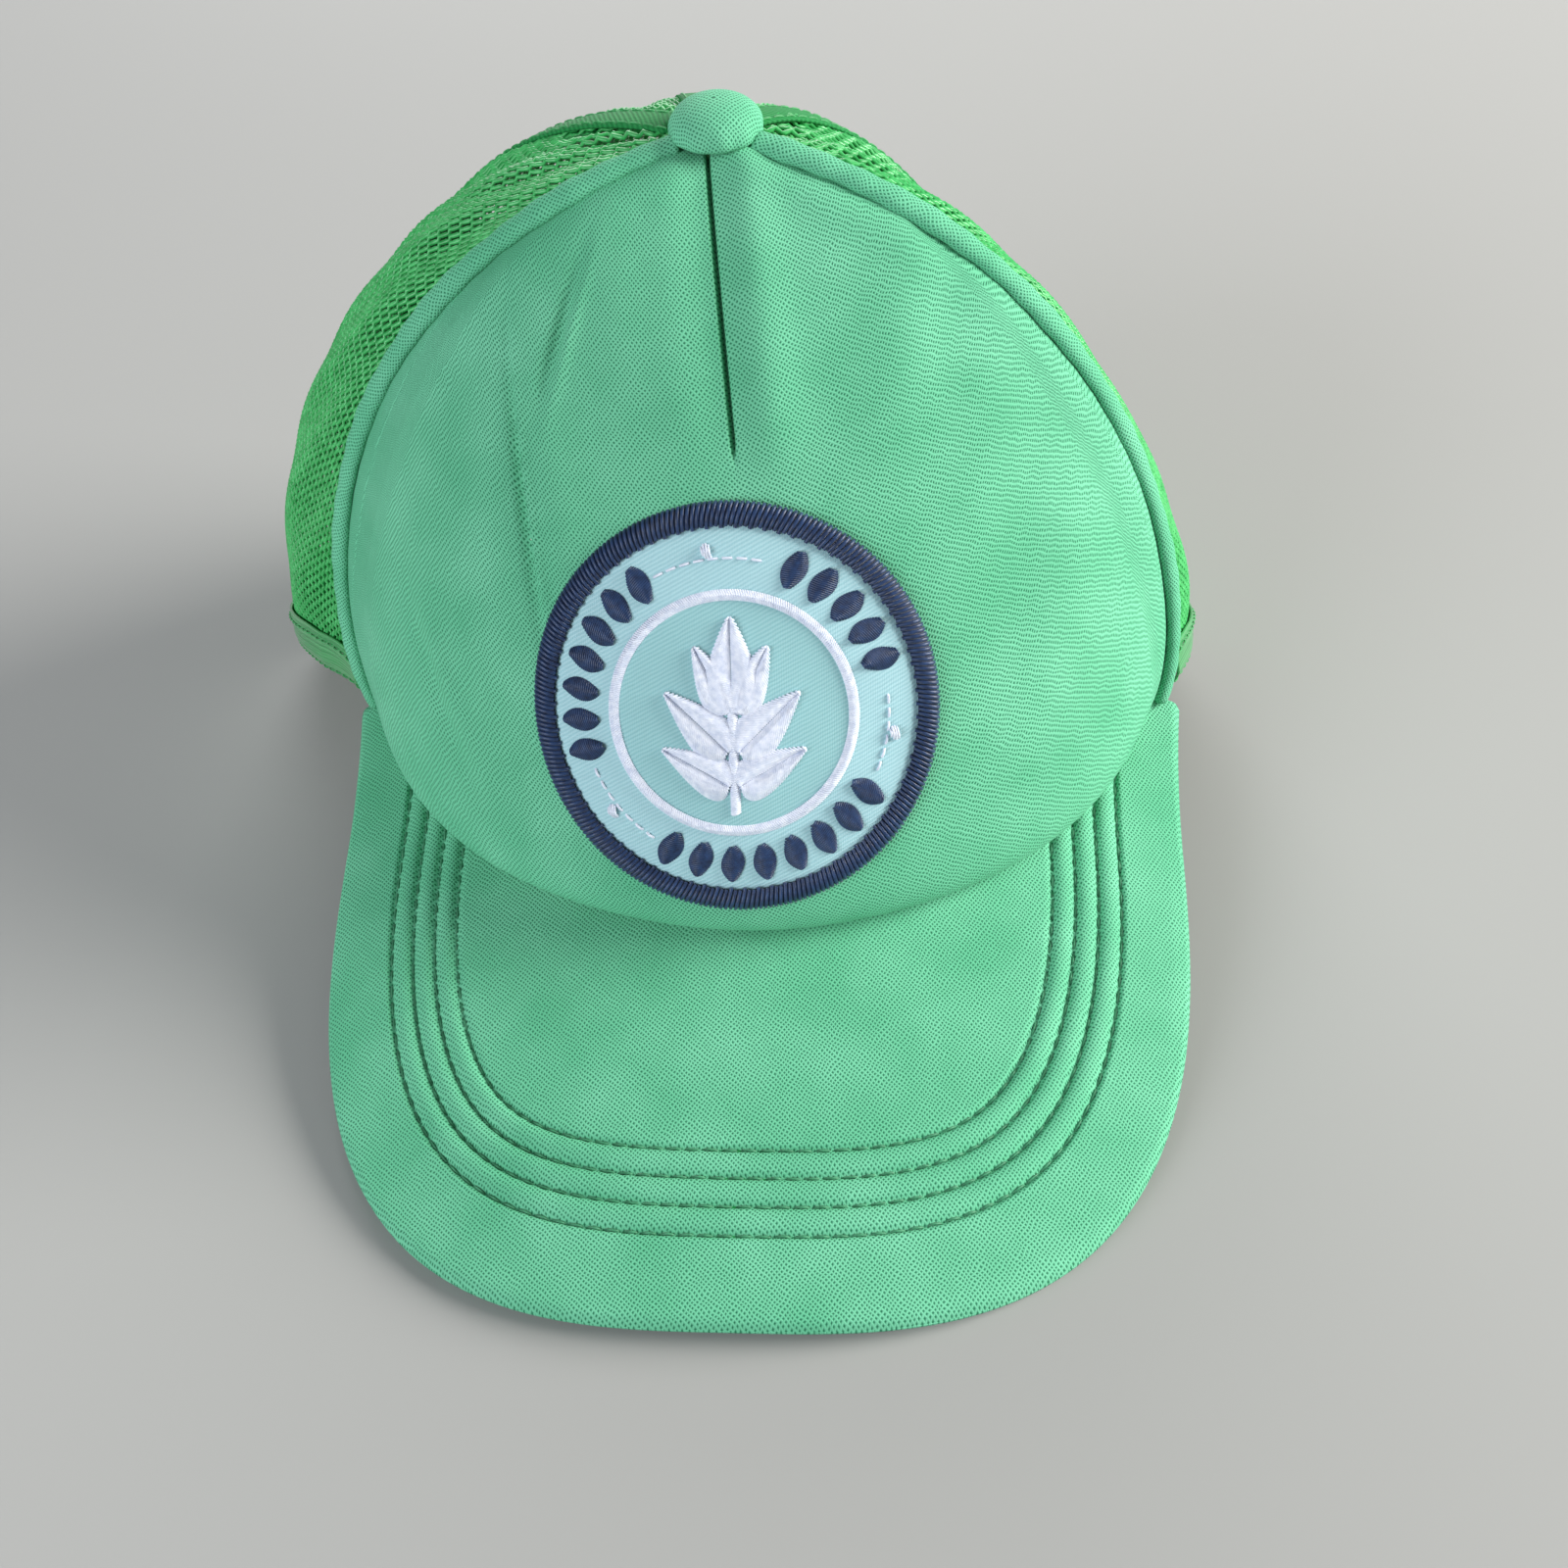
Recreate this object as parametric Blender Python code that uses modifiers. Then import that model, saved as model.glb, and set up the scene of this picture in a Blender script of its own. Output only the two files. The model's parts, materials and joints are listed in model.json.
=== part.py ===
"""Foam-front mesh cap: crown panels, seams, visor, patch, button and snap closure, in metres, +Z up.

The visor points along -Y. The crown is one surface, crown_point(turn, climb), cut into panels: turn is
the angle round the head from the front centre, positive towards +X, and climb runs from 0 at the rim to
1 at the button. Everything sewn to the crown is laid on that surface at a depth below it.
"""

import functools
import math

import bmesh
import bpy
import numpy as np
from mathutils import Matrix, Vector

MM = 0.001
GAP = 0.3 * MM  # air left between neighbouring pieces

# Rim of the crown, seen from above. The middle of the front sits at y = -RIM_FRONT.
RIM_HALF_WIDTH = 86 * MM
RIM_FLARE = 27.5 * MM  # how much wider the mesh half stands
RIM_FRONT = 72 * MM
RIM_BACK = 90 * MM
FLARE_START, FLARE_SPAN = 72, 44  # degrees of turn over which the flare grows
SIDE_SWAY = -15 * MM  # the soft mesh half leans to one side
SWAY_START, SWAY_SPAN = 75, 45  # degrees of turn over which the lean grows

# Height and roundness of the crown: how far each meridian's handles reach at the front, side and back
CROWN_HEIGHT = 143 * MM
BUTTON_BACK = 13 * MM  # the button stands this far behind the rim's middle
BUTTON_SIDE = -1.5 * MM
RIM_OUT = (5.5 * MM, -2.5 * MM, 5.5 * MM)
RIM_UP = (23 * MM, 63 * MM, 65 * MM)
TOP_OUT = (25 * MM, 50 * MM, 45 * MM)
TOP_UP = (0, 3.5 * MM, 8.5 * MM)  # the mesh puffs up behind the button
FRONT_BULGE = 4.2 * MM  # the foam front swells over the visor
BULGE_CLIMB = 0.096
CLIMB_METRES = 0.16  # cloth length of a whole climb, roughly
DART_DEPTH = 1.8 * MM
DART_HALF_WIDTH = 5 * MM
DART_END, DART_FADE = 0.60, 0.08  # climb where the dart dies out, and how softly
MESH_START = 0.012  # climb of the mesh's cut edge
CROWN_TOP = 0.952  # panels stop here, under the button

# Visor
VISOR_HALF_WIDTH = 88 * MM
VISOR_WIDEST = 48 * MM  # the widest line stands this far in front of the rim's middle
VISOR_REACH = 96 * MM  # from the widest line to the tip
VISOR_ROUNDNESS = 2.8
VISOR_SLOPE = 0.27
VISOR_BEND = 310 * MM
VISOR_CORNER = 79  # degrees of turn where the visor is sewn in
VISOR_TUCK = 4.0 * MM  # the visor's edge reaches under the crown
VISOR_TIP_WIDTH = 4 * MM  # blunt corner at the end of the seam
VISOR_TRIM = 0.01  # share of the outline left off at each corner
VISOR_STRAIGHT = 0.22  # share of each half of the outline that runs from the corner to the widest line
COVER = 0.8 * MM
BOARD = 1.8 * MM
BOARD_INSET = 1.6 * MM
VISOR_STACK = 2 * COVER + BOARD + 2 * GAP

# Crown layers, as depths below the outer surface
FOAM = 3.0 * MM
MESH = 0.8 * MM
TAPE = 0.6 * MM
TAPE_HALF_WIDTH = 5.5 * MM
SWEATBAND = 1.2 * MM
SWEATBAND_HEIGHT = 30 * MM
HEM = 0.6 * MM
HEM_FOOT = 1.5 * MM
HEM_HEIGHT = 11 * MM
HEM_DEPTH = -0.5 * MM - HEM
FOAM_DEPTH = COVER + GAP
FRONT_TAPE_DEPTH = FOAM_DEPTH + FOAM + 0.5 * MM
MESH_TAPE_DEPTH = MESH + 0.55 * MM
SWEATBAND_DEPTH = FRONT_TAPE_DEPTH + TAPE + 0.5 * MM
FRONT_TOP = CROWN_TOP - (FOAM_DEPTH + FOAM) / 2 / CLIMB_METRES  # the foam's thickness leans towards the post

# Seams, in degrees of turn
FRONT_SEAM, FRONT_SEAM_TAPER, FRONT_SEAM_BOW = 78, -10, 10.5
SIDE_SEAM = 136
PIPING_RADIUS = 2.1 * MM
PIPING_DEPTH = 0.5 * MM
SEAM_ALLOWANCE = 0.5 * MM
RIM_SETTLE = 45  # degrees behind the visor's corner over which the rim comes down to the ground

# Back opening and its snap closure
OPENING_HALF_WIDTH = 40 * MM
OPENING_CLIMB = 0.36
FRONT_TAPE_START = 0.27  # climb just over the sweatband
SIDE_TAPE_START = 0.12
BACK_TAPE_START = OPENING_CLIMB + 0.05
BINDING_RADIUS = 1.3 * MM
BINDING_DEPTH = 0.4 * MM
STRAP_WIDTH = 18 * MM
STRAP = 1.2 * MM
STRAP_ROUNDING = 0.35 * MM
STRAP_LIFT = 3 * MM  # the straps' lower edge above the ground
STRAP_DEPTH = 3.35 * MM  # middle of the two straps below the crown's surface
HINGE_HALF_SPAN = OPENING_HALF_WIDTH - BINDING_RADIUS - 1.2 * MM
PEG_PITCH = 9.5 * MM
PEG_RADIUS = 1.9 * MM
PEG_STAND = 0.9 * MM  # a fastened peg stands this far proud of the holed strap
HOLE_CLEARANCE = 0.4 * MM
PEGS = 6
PEGS_FASTENED = 4
TAB_LENGTH = 12 * MM
HINGE_GAP = 0.55 * MM  # from the hinge line to the strap and to its sewn tab

# Button
BUTTON_RADIUS = 8.2 * MM
BUTTON_RISE = 5.4 * MM
BUTTON_SEAT = 0.9 * MM  # the button's rim stands this far above the crown's top
BUTTON_SHELL = 0.8 * MM
POST_RADIUS = 1.6 * MM
POST_HEAD_RADIUS = 2.4 * MM
POST_HEAD = 1.0 * MM
POST_HEAD_ROOM = 0.6 * MM
POST_REACH = FOAM_DEPTH + FOAM + 6.5 * MM  # down through the cloth and clear of the foam
POST_END = 0.4 * MM  # what it stands out below the washer
WASHER_RADIUS = 5.5 * MM
WASHER = 1.0 * MM

# Patch
PATCH_RADIUS = 38 * MM
PATCH_BORDER_RADIUS = 1.7 * MM
PATCH_CENTRE = 51 * MM  # above the visor seam, along the cloth
PATCH_TWILL = 1.2 * MM
PATCH_RING_RADIUS = 21.5 * MM
PATCH_RING_THREAD = 0.6 * MM
EMBLEM_LENGTH, EMBLEM_WIDTH = 27 * MM, 14 * MM
EMBLEM = 0.8 * MM

MINT = (0.16, 0.53, 0.34)
GRASS = (0.05, 0.34, 0.13)
NAVY = (0.02, 0.05, 0.12)
ICE = (0.45, 0.68, 0.72)
WHITE = (0.80, 0.80, 0.86)
FOAM_WHITE = (0.75, 0.78, 0.72)
STEEL = (0.60, 0.60, 0.62)


# The crown's surface


def smooth(x):
    """Smooth step from 0 to 1."""
    x = min(max(x, 0.0), 1.0)
    return x * x * (3 - 2 * x)


def around(front_side_back, turn):
    """A value that passes through its front, side and back settings as turn goes round."""
    front, side, back = front_side_back
    swing, fold = (front - back) / 2, (front + back - 2 * side) / 4
    return side + fold + swing * math.cos(turn) + fold * math.cos(2 * turn)


def rim_plan(turn):
    flare = smooth((abs(math.degrees(turn)) - FLARE_START) / FLARE_SPAN)
    half_width = RIM_HALF_WIDTH + RIM_FLARE * flare
    reach = RIM_FRONT if math.cos(turn) > 0 else RIM_BACK
    return half_width * math.sin(turn), -reach * math.cos(turn)


def visor_droop(x, y):
    """Height of the visor's top surface, less that of its front seam."""
    return VISOR_SLOPE * (y + RIM_FRONT) - (VISOR_BEND - math.sqrt(VISOR_BEND**2 - x * x))


def visor_outline(share):
    """The visor's outer edge in plan, from its left corner at 0 round the front to its right corner at 1."""
    side = 1 if share > 0.5 else -1
    along = 1 - abs(2 * share - 1)  # 0 at a corner, 1 at the tip
    corner = Vector(rim_plan(math.radians(VISOR_CORNER))) + Vector((VISOR_TIP_WIDTH, 0))
    if along < VISOR_STRAIGHT:
        back = 1 - along / VISOR_STRAIGHT
        x = VISOR_HALF_WIDTH - (VISOR_HALF_WIDTH - corner.x) * back**2
        y = -VISOR_WIDEST + (corner.y + VISOR_WIDEST) * back
    else:
        turn = (along - VISOR_STRAIGHT) / (1 - VISOR_STRAIGHT) * math.pi / 2
        x = VISOR_HALF_WIDTH * max(math.cos(turn), 0) ** (2 / VISOR_ROUNDNESS)
        y = -VISOR_WIDEST - VISOR_REACH * math.sin(turn) ** (2 / VISOR_ROUNDNESS)
    return side * x, y


# The visor's lowest point rests on the ground.
SEAM_HEIGHT = VISOR_STACK - min(visor_droop(*visor_outline(i / 200)) for i in range(201))


def visor_height(x, y):
    return SEAM_HEIGHT + visor_droop(x, y)


def rim_height(turn):
    corner = math.radians(VISOR_CORNER)
    if abs(turn) <= corner:
        return visor_height(*rim_plan(turn))
    settle = smooth((abs(math.degrees(turn)) - VISOR_CORNER) / RIM_SETTLE)
    return visor_height(*rim_plan(corner)) * (1 - settle)


def bare_crown_point(turn, climb):
    """Point of the crown before the dart: a cubic meridian from the rim to the button."""
    turn, climb = float(turn), float(climb)
    x, y = rim_plan(turn)
    rim = Vector((x, y, rim_height(turn)))
    top = Vector((BUTTON_SIDE, BUTTON_BACK, CROWN_HEIGHT))
    outward = Vector((rim.x - top.x, rim.y - top.y, 0)).normalized()
    low = rim + outward * around(RIM_OUT, turn) + Vector((0, 0, around(RIM_UP, turn)))
    high = top + outward * around(TOP_OUT, turn) + Vector((0, 0, around(TOP_UP, turn)))
    rest = 1 - climb
    point = rest**3 * rim + 3 * climb * rest**2 * low + 3 * climb**2 * rest * high + climb**3 * top
    swell = climb / BULGE_CLIMB * math.exp(1 - climb / BULGE_CLIMB)
    point += outward * FRONT_BULGE * (0.25 + 0.75 * max(math.cos(turn), 0) ** 2) * swell
    point.x += SIDE_SWAY * smooth((abs(math.degrees(turn)) - SWAY_START) / SWAY_SPAN) * (1 - climb**3)
    return point


def crown_frame(turn, climb):
    """(point, outward normal, metres per radian of turn) of the crown without its dart."""
    step = 1e-4
    point = bare_crown_point(turn, climb)
    across = (bare_crown_point(turn + step, climb) - bare_crown_point(turn - step, climb)) / (2 * step)
    up = (bare_crown_point(turn, climb + step) - bare_crown_point(turn, climb - step)) / (2 * step)
    return point, across.cross(up).normalized(), across.length


def crown_point(turn, climb, depth=0.0):
    point, normal, per_radian = crown_frame(turn, climb)
    off_centre = turn * per_radian / DART_HALF_WIDTH
    dart = DART_DEPTH * math.exp(-off_centre**2) * smooth((climb - DART_END + DART_FADE) / (2 * DART_FADE))
    return point - normal * (depth + dart)


@functools.lru_cache(maxsize=None)
def meridian(turn):
    """(climbs, lengths of cloth from the rim) along one turn."""
    climbs = np.linspace(0, 1, 161)
    points = np.array([bare_crown_point(turn, climb) for climb in climbs])
    steps = np.linalg.norm(np.diff(points, axis=0), axis=1)
    return climbs, np.concatenate([[0], np.cumsum(steps)])


def climb_at(turn, length):
    """The climb that lies this length of cloth above the rim."""
    climbs, lengths = meridian(round(float(turn), 6))
    return float(np.interp(length, lengths, climbs))


def front_seam(climb):
    return math.radians(FRONT_SEAM + FRONT_SEAM_TAPER * climb + FRONT_SEAM_BOW * 4 * climb * (1 - climb))


def beside(turn, climb, distance):
    """The turn that lies this distance of cloth further round."""
    return turn + distance / crown_frame(turn, climb)[2]


def opening_point(share, margin):
    """(turn, climb) on a line this far outside the back opening, from its top at 0 to the rim at 1."""
    reach = (OPENING_HALF_WIDTH + margin) / (RIM_HALF_WIDTH + RIM_FLARE)
    angle = share * math.pi / 2
    climb = (OPENING_CLIMB + margin / CLIMB_METRES) * math.cos(angle)
    return math.pi - math.asin(reach * math.sin(angle)), climb


def opening_turn():
    """Turn, on the right, where the back opening meets the rim."""
    return opening_point(1, 0)[0]


# Making objects


def material(name, colour, roughness, metallic=0.0):
    found = bpy.data.materials.get(name)
    if found:
        return found
    made = bpy.data.materials.new(name)
    made.use_nodes = True
    shader = made.node_tree.nodes["Principled BSDF"]
    shader.inputs["Base Color"].default_value = (*colour, 1)
    shader.inputs["Roughness"].default_value = roughness
    shader.inputs["Metallic"].default_value = metallic
    made.diffuse_color = (*colour, 1)
    return made


def add_object(name, data, look, collection="cap"):
    thing = bpy.data.objects.new(name, data)
    bpy.data.collections[collection].objects.link(thing)
    if look:
        data.materials.append(look)
    return thing


def grid_object(name, rows, look):
    """Open quad surface through rows of points. It faces where rows run left to right, upwards."""
    shape = bmesh.new()
    lines = [[shape.verts.new(point) for point in row] for row in rows]
    for low, high in zip(lines, lines[1:]):
        for i in range(len(low) - 1):
            shape.faces.new((low[i], low[i + 1], high[i + 1], high[i]))
    mesh = bpy.data.meshes.new(name)
    shape.to_mesh(mesh)
    shape.free()
    mesh.shade_smooth()
    return add_object(name, mesh, look)


def thicken(thing, thickness):
    """Gives an open surface its thickness, on the side away from its normals."""
    solid = thing.modifiers.new("thickness", "SOLIDIFY")
    solid.thickness = thickness
    solid.offset = -1
    solid.use_even_offset = True
    return thing


def tube_object(name, points, radius, look, cyclic=False, sides=2):
    curve = bpy.data.curves.new(name, "CURVE")
    curve.dimensions = "3D"
    curve.bevel_depth = radius
    curve.bevel_resolution = sides
    curve.use_fill_caps = True
    line = curve.splines.new("POLY")
    line.points.add(len(points) - 1)
    for knot, point in zip(line.points, points):
        knot.co = (*point, 1)
    line.use_cyclic_u = cyclic
    return add_object(name, curve, look)


def lathe_object(name, profile, look, steps=28):
    """Turned shape round Z, from a closed profile of (radius, height) that runs down its outer side."""
    mesh = bpy.data.meshes.new(name)
    edges = [(i, (i + 1) % len(profile)) for i in range(len(profile))]
    if profile[0][0] == 0 and profile[-1][0] == 0:
        edges.pop()
    mesh.from_pydata([(r, 0, z) for r, z in profile], edges, [])
    thing = add_object(name, mesh, look)
    screw = thing.modifiers.new("turn", "SCREW")
    screw.steps = screw.render_steps = steps
    screw.merge_threshold = 0.00001
    screw.use_merge_vertices = True
    return thing


def block(name, low, high, look, collection="cap", bevel=0.0):
    shape = bmesh.new()
    bmesh.ops.create_cube(shape, size=1)
    low, high = Vector(low), Vector(high)
    bmesh.ops.scale(shape, vec=high - low, verts=shape.verts)
    bmesh.ops.translate(shape, vec=(low + high) / 2, verts=shape.verts)
    mesh = bpy.data.meshes.new(name)
    shape.to_mesh(mesh)
    shape.free()
    thing = add_object(name, mesh, look, collection)
    if bevel:
        rounding = thing.modifiers.new("rounding", "BEVEL")
        rounding.width = bevel
        rounding.segments = 2
    return thing


def cylinders(name, radius, length, places, look=None):
    """Rods along Y, one mesh of separate closed rods, kept as a Boolean's operand."""
    shape = bmesh.new()
    for x, y, z in places:
        turn = Matrix.Translation((x, y, z)) @ Matrix.Rotation(math.pi / 2, 4, "X")
        bmesh.ops.create_cone(
            shape, cap_ends=True, segments=16, radius1=radius, radius2=radius, depth=length, matrix=turn
        )
    mesh = bpy.data.meshes.new(name)
    shape.to_mesh(mesh)
    shape.free()
    return hide(add_object(name, mesh, look, "cutters"))


def hide(tool):
    tool.hide_render = True
    tool.display_type = "WIRE"
    return tool


def combine(thing, tool, operation):
    step = thing.modifiers.new(tool.name, "BOOLEAN")
    step.operation = operation
    step.solver = "EXACT"
    step.object = tool


# The crown


def spread(count, power=1.0):
    """Values from -1 to 1, drawn towards the middle by a power above 1."""
    return [math.copysign(abs(u) ** power, u) for u in np.linspace(-1, 1, count)]


def front_rows(depth, columns=21, lines=15, start=0.014):
    rows = []
    margin = PIPING_RADIUS + SEAM_ALLOWANCE
    for climb in np.linspace(0, 1, lines) ** 1.15 * (FRONT_TOP - start) + start:
        edge = beside(front_seam(climb), climb, -margin)
        rows.append([crown_point(u * edge, climb, depth) for u in spread(columns, 1.35)])
    return rows


def make_front(mint, foam):
    cover = thicken(grid_object("front_cover", front_rows(0.0), mint), COVER)
    lining = thicken(grid_object("front_foam", front_rows(FOAM_DEPTH), foam), FOAM)
    return cover, lining


def strip_rows(first_turn, last_turn, climbs, depth, columns):
    """Rows of crown points between two turns, each a function of climb."""
    rows = []
    for climb in climbs:
        turns = np.linspace(first_turn(climb), last_turn(climb), columns)
        rows.append([crown_point(turn, climb, depth) for turn in turns])
    return rows


def make_side_mesh(name, side, grass):
    climbs = np.linspace(MESH_START, CROWN_TOP, 17)
    near = lambda c: side * beside(front_seam(c), c, PIPING_RADIUS + SEAM_ALLOWANCE)
    far = lambda c: side * beside(math.radians(SIDE_SEAM), c, -SEAM_ALLOWANCE)
    ends = (near, far) if side > 0 else (far, near)
    return thicken(grid_object(name, strip_rows(*ends, climbs, 0.0, 14), grass), MESH)


def make_back_mesh(name, side, grass):
    """Back panel, whose lower edge rises round half of the opening."""
    margin = BINDING_RADIUS + SEAM_ALLOWANCE
    seam, edge = math.radians(SIDE_SEAM), opening_point(1, margin)[0]
    feet = [(turn, 0.0) for turn in np.linspace(seam, edge, 5)[:-1]]
    feet += [opening_point(share, margin) for share in np.linspace(1, 0, 11)]
    rows = []
    for share in np.linspace(0, 1, 12):
        row = []
        for turn, arch in feet:
            start = max(MESH_START, arch)
            climb = start + (CROWN_TOP - start) * share
            left, right = beside(seam, climb, SEAM_ALLOWANCE), beside(math.pi, climb, -SEAM_ALLOWANCE)
            inset = left + (right - left) * (turn - seam) / (math.pi - seam)
            row.append(crown_point(side * inset, climb))
        rows.append(row if side > 0 else row[::-1])
    return thicken(grid_object(name, rows, grass), MESH)


def make_piping(name, side, mint):
    """Rolled edge along the seam between the foam front and the mesh."""
    climbs = np.linspace(0.03, CROWN_TOP - 0.04, 18)
    points = [crown_point(side * front_seam(c), c, PIPING_DEPTH) for c in climbs]
    return tube_object(name, points, PIPING_RADIUS, mint)


def make_tape(name, middle, depth, start, look, lines=14):
    """Tape laid inside along a seam, clear of the sweatband below and the button's washer above."""
    climbs = np.linspace(start, CROWN_TOP - 0.09, lines)
    left = lambda c: beside(middle(c), c, -TAPE_HALF_WIDTH)
    right = lambda c: beside(middle(c), c, TAPE_HALF_WIDTH)
    return thicken(grid_object(name, strip_rows(left, right, climbs, depth, 4), look), TAPE)


def make_tapes(tape):
    for name, side in (("left", -1), ("right", 1)):
        front = lambda c: side * front_seam(c)
        middle = lambda c: side * math.radians(SIDE_SEAM)
        make_tape(f"front_seam_tape_{name}", front, FRONT_TAPE_DEPTH, FRONT_TAPE_START, tape)
        make_tape(f"side_seam_tape_{name}", middle, MESH_TAPE_DEPTH, SIDE_TAPE_START, tape)
    make_tape("back_seam_tape", lambda c: math.pi, MESH_TAPE_DEPTH, BACK_TAPE_START, tape, lines=9)


def band_rows(first, last, depth, low, high, columns, lines):
    """Rows of crown points between two turns and between two lengths of cloth above the rim."""
    turns = np.linspace(first, last, columns)
    rows = []
    for length in np.linspace(low, high, lines):
        rows.append([crown_point(turn, climb_at(turn, length), depth) for turn in turns])
    return rows


def make_hem(name, side, clear):
    """Clear tape over the mesh's lower edge, from the visor's corner to the opening."""
    near = math.radians(VISOR_CORNER + 5)
    far = beside(opening_turn(), 0.02, -3 * MM)
    ends = (near, far) if side > 0 else (-far, -near)
    rows = band_rows(*ends, HEM_DEPTH, HEM_FOOT, HEM_FOOT + HEM_HEIGHT, 22, 4)
    return thicken(grid_object(name, rows, clear), HEM)


def make_sweatband(tape):
    """Band inside the rim, open at the back. Its lower edge is trimmed flat on the ground."""
    end = beside(opening_turn(), 0.02, -TAB_LENGTH / 2)
    rows = band_rows(-end, end, SWEATBAND_DEPTH, 0, SWEATBAND_HEIGHT, 41, 4)
    rows.insert(0, [point - Vector((0, 0, 2 * MM)) for point in rows[0]])
    band = thicken(grid_object("sweatband", rows, tape), SWEATBAND)
    ground = hide(block("ground", (-0.3, 0, -0.05), (0.3, 0.3, 0), None, "cutters"))
    combine(band, ground, "DIFFERENCE")
    return band


def make_opening_binding(tape):
    half = [opening_point(share, 0) for share in np.linspace(0, 1, 16)]
    line = [(2 * math.pi - turn, climb) for turn, climb in half[:0:-1]] + half
    points = [crown_point(turn, max(climb, 0.02), BINDING_DEPTH) for turn, climb in line]
    return tube_object("opening_binding", points, BINDING_RADIUS, tape)


# The visor


def visor_rows(drop, inset, columns=29, lines=5):
    """Visor surface between the crown seam and the outer edge, lowered by drop and pulled in by inset."""
    corner = math.radians(VISOR_CORNER - 1)
    rows = []
    for share in np.linspace(0, 1, lines):
        row = []
        for u in np.linspace(0, 1, columns):
            turn = (2 * u - 1) * corner
            inner = Vector(rim_plan(turn))
            inner -= inner.normalized() * (VISOR_TUCK + inset * 0.3)
            outer = Vector(visor_outline(VISOR_TRIM + (1 - 2 * VISOR_TRIM) * u))
            middle = Vector((0, -VISOR_WIDEST))
            outer -= (outer - middle).normalized() * inset
            x, y = outer.lerp(inner, share)
            row.append(Vector((x, y, visor_height(x, y) - drop)))
        rows.append(row)
    return rows


def make_visor(mint, plastic):
    thicken(grid_object("visor_top_cover", visor_rows(0.0, 0.0), mint), COVER)
    thicken(grid_object("visor_board", visor_rows(COVER + GAP, BOARD_INSET), plastic), BOARD)
    thicken(grid_object("visor_under_cover", visor_rows(COVER + BOARD + 2 * GAP, 0.0), mint), COVER)


# The patch


def patch_point(across, up, lift):
    """Point over the crown for flat patch coordinates: up the centre line, then level round the crown."""
    climb = climb_at(0.0, PATCH_CENTRE + up)
    level, normal, _ = crown_frame(0.0, climb)
    uphill = normal.cross(Vector((1, 0, 0)))
    target = RIM_HALF_WIDTH * math.sin(across / RIM_HALF_WIDTH)
    turn = across / RIM_HALF_WIDTH
    for _ in range(5):
        point, normal, per_radian = crown_frame(turn, climb)
        turn += (target - point.x) / per_radian
        climb -= (point - level).dot(uphill) / CLIMB_METRES
    point, normal, _ = crown_frame(turn, climb)
    return point + normal * lift


def make_patch(ice, navy, white):
    """Round twill badge with a thick sewn border, a ring and a leaf in raised thread."""
    disc = PATCH_RADIUS - 2 * PATCH_BORDER_RADIUS - GAP
    rows = []
    for up in spread(13):
        half = math.sqrt(max(disc**2 - (disc * up) ** 2, (0.12 * disc) ** 2))
        rows.append([patch_point(half * u, disc * up, GAP + PATCH_TWILL) for u in spread(9)])
    thicken(grid_object("patch_twill", rows, ice), PATCH_TWILL)

    def circle(radius, lift, count=48):
        turns = np.linspace(0, 2 * math.pi, count + 1)[:-1]
        return [patch_point(radius * math.cos(a), radius * math.sin(a), lift) for a in turns]

    border = circle(PATCH_RADIUS - PATCH_BORDER_RADIUS, GAP + PATCH_BORDER_RADIUS)
    tube_object("patch_border", border, PATCH_BORDER_RADIUS, navy, True)
    over = 2 * GAP + PATCH_TWILL
    ring = circle(PATCH_RING_RADIUS, over + PATCH_RING_THREAD)
    tube_object("patch_ring", ring, PATCH_RING_THREAD, white, True, 1)

    rows = []
    for share in np.linspace(-0.92, 0.92, 13):
        half = EMBLEM_WIDTH / 2 * (1 - share * share) ** 0.8
        along = EMBLEM_LENGTH / 2 * share
        rows.append([patch_point(half * u, along, over + EMBLEM) for u in (-1, -0.5, 0, 0.5, 1)])
    thicken(grid_object("patch_leaf", rows, white), EMBLEM)


# The button


def make_button(mint, steel):
    """Cloth-covered dome over a steel cap, riveted through the crown's top with a post and a washer."""

    def dome(radius, rise, low=0.0, steps=6):
        turns = np.linspace(0, math.pi / 2, steps)
        arc = [(radius * math.sin(a), low + (rise - low) * math.cos(a) ** 0.9) for a in turns[:-1]]
        return [*arc, (radius, low)]

    inner = dome(BUTTON_RADIUS - COVER, BUTTON_RISE - COVER)
    cover = dome(BUTTON_RADIUS, BUTTON_RISE) + inner[::-1]
    button = lathe_object("button_cover", cover, mint)
    shell_out = dome(BUTTON_RADIUS - COVER - GAP, BUTTON_RISE - COVER - GAP)
    shell_in = dome(BUTTON_RADIUS - COVER - GAP - BUTTON_SHELL, BUTTON_RISE - COVER - GAP - BUTTON_SHELL)
    shell = lathe_object("button_shell", shell_out + shell_in[::-1], steel)
    top = BUTTON_RISE - COVER - 2 * GAP - BUTTON_SHELL - POST_HEAD_ROOM
    neck = top - POST_HEAD
    post_outline = [
        (0, top),
        (POST_HEAD_RADIUS, top),
        (POST_HEAD_RADIUS, neck),
        (POST_RADIUS, neck),
        (POST_RADIUS, -POST_REACH),
        (0, -POST_REACH),
    ]
    post = lathe_object("button_post", post_outline, steel)
    low, bore = POST_END - POST_REACH, POST_RADIUS + GAP
    washer_outline = [(bore, low + WASHER), (WASHER_RADIUS, low + WASHER), (WASHER_RADIUS, low), (bore, low)]
    washer = lathe_object("button_washer", washer_outline, steel)
    for thing in (button, shell, post, washer):
        thing.location = (BUTTON_SIDE, BUTTON_BACK, CROWN_HEIGHT + BUTTON_SEAT)


# The snap closure


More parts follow.
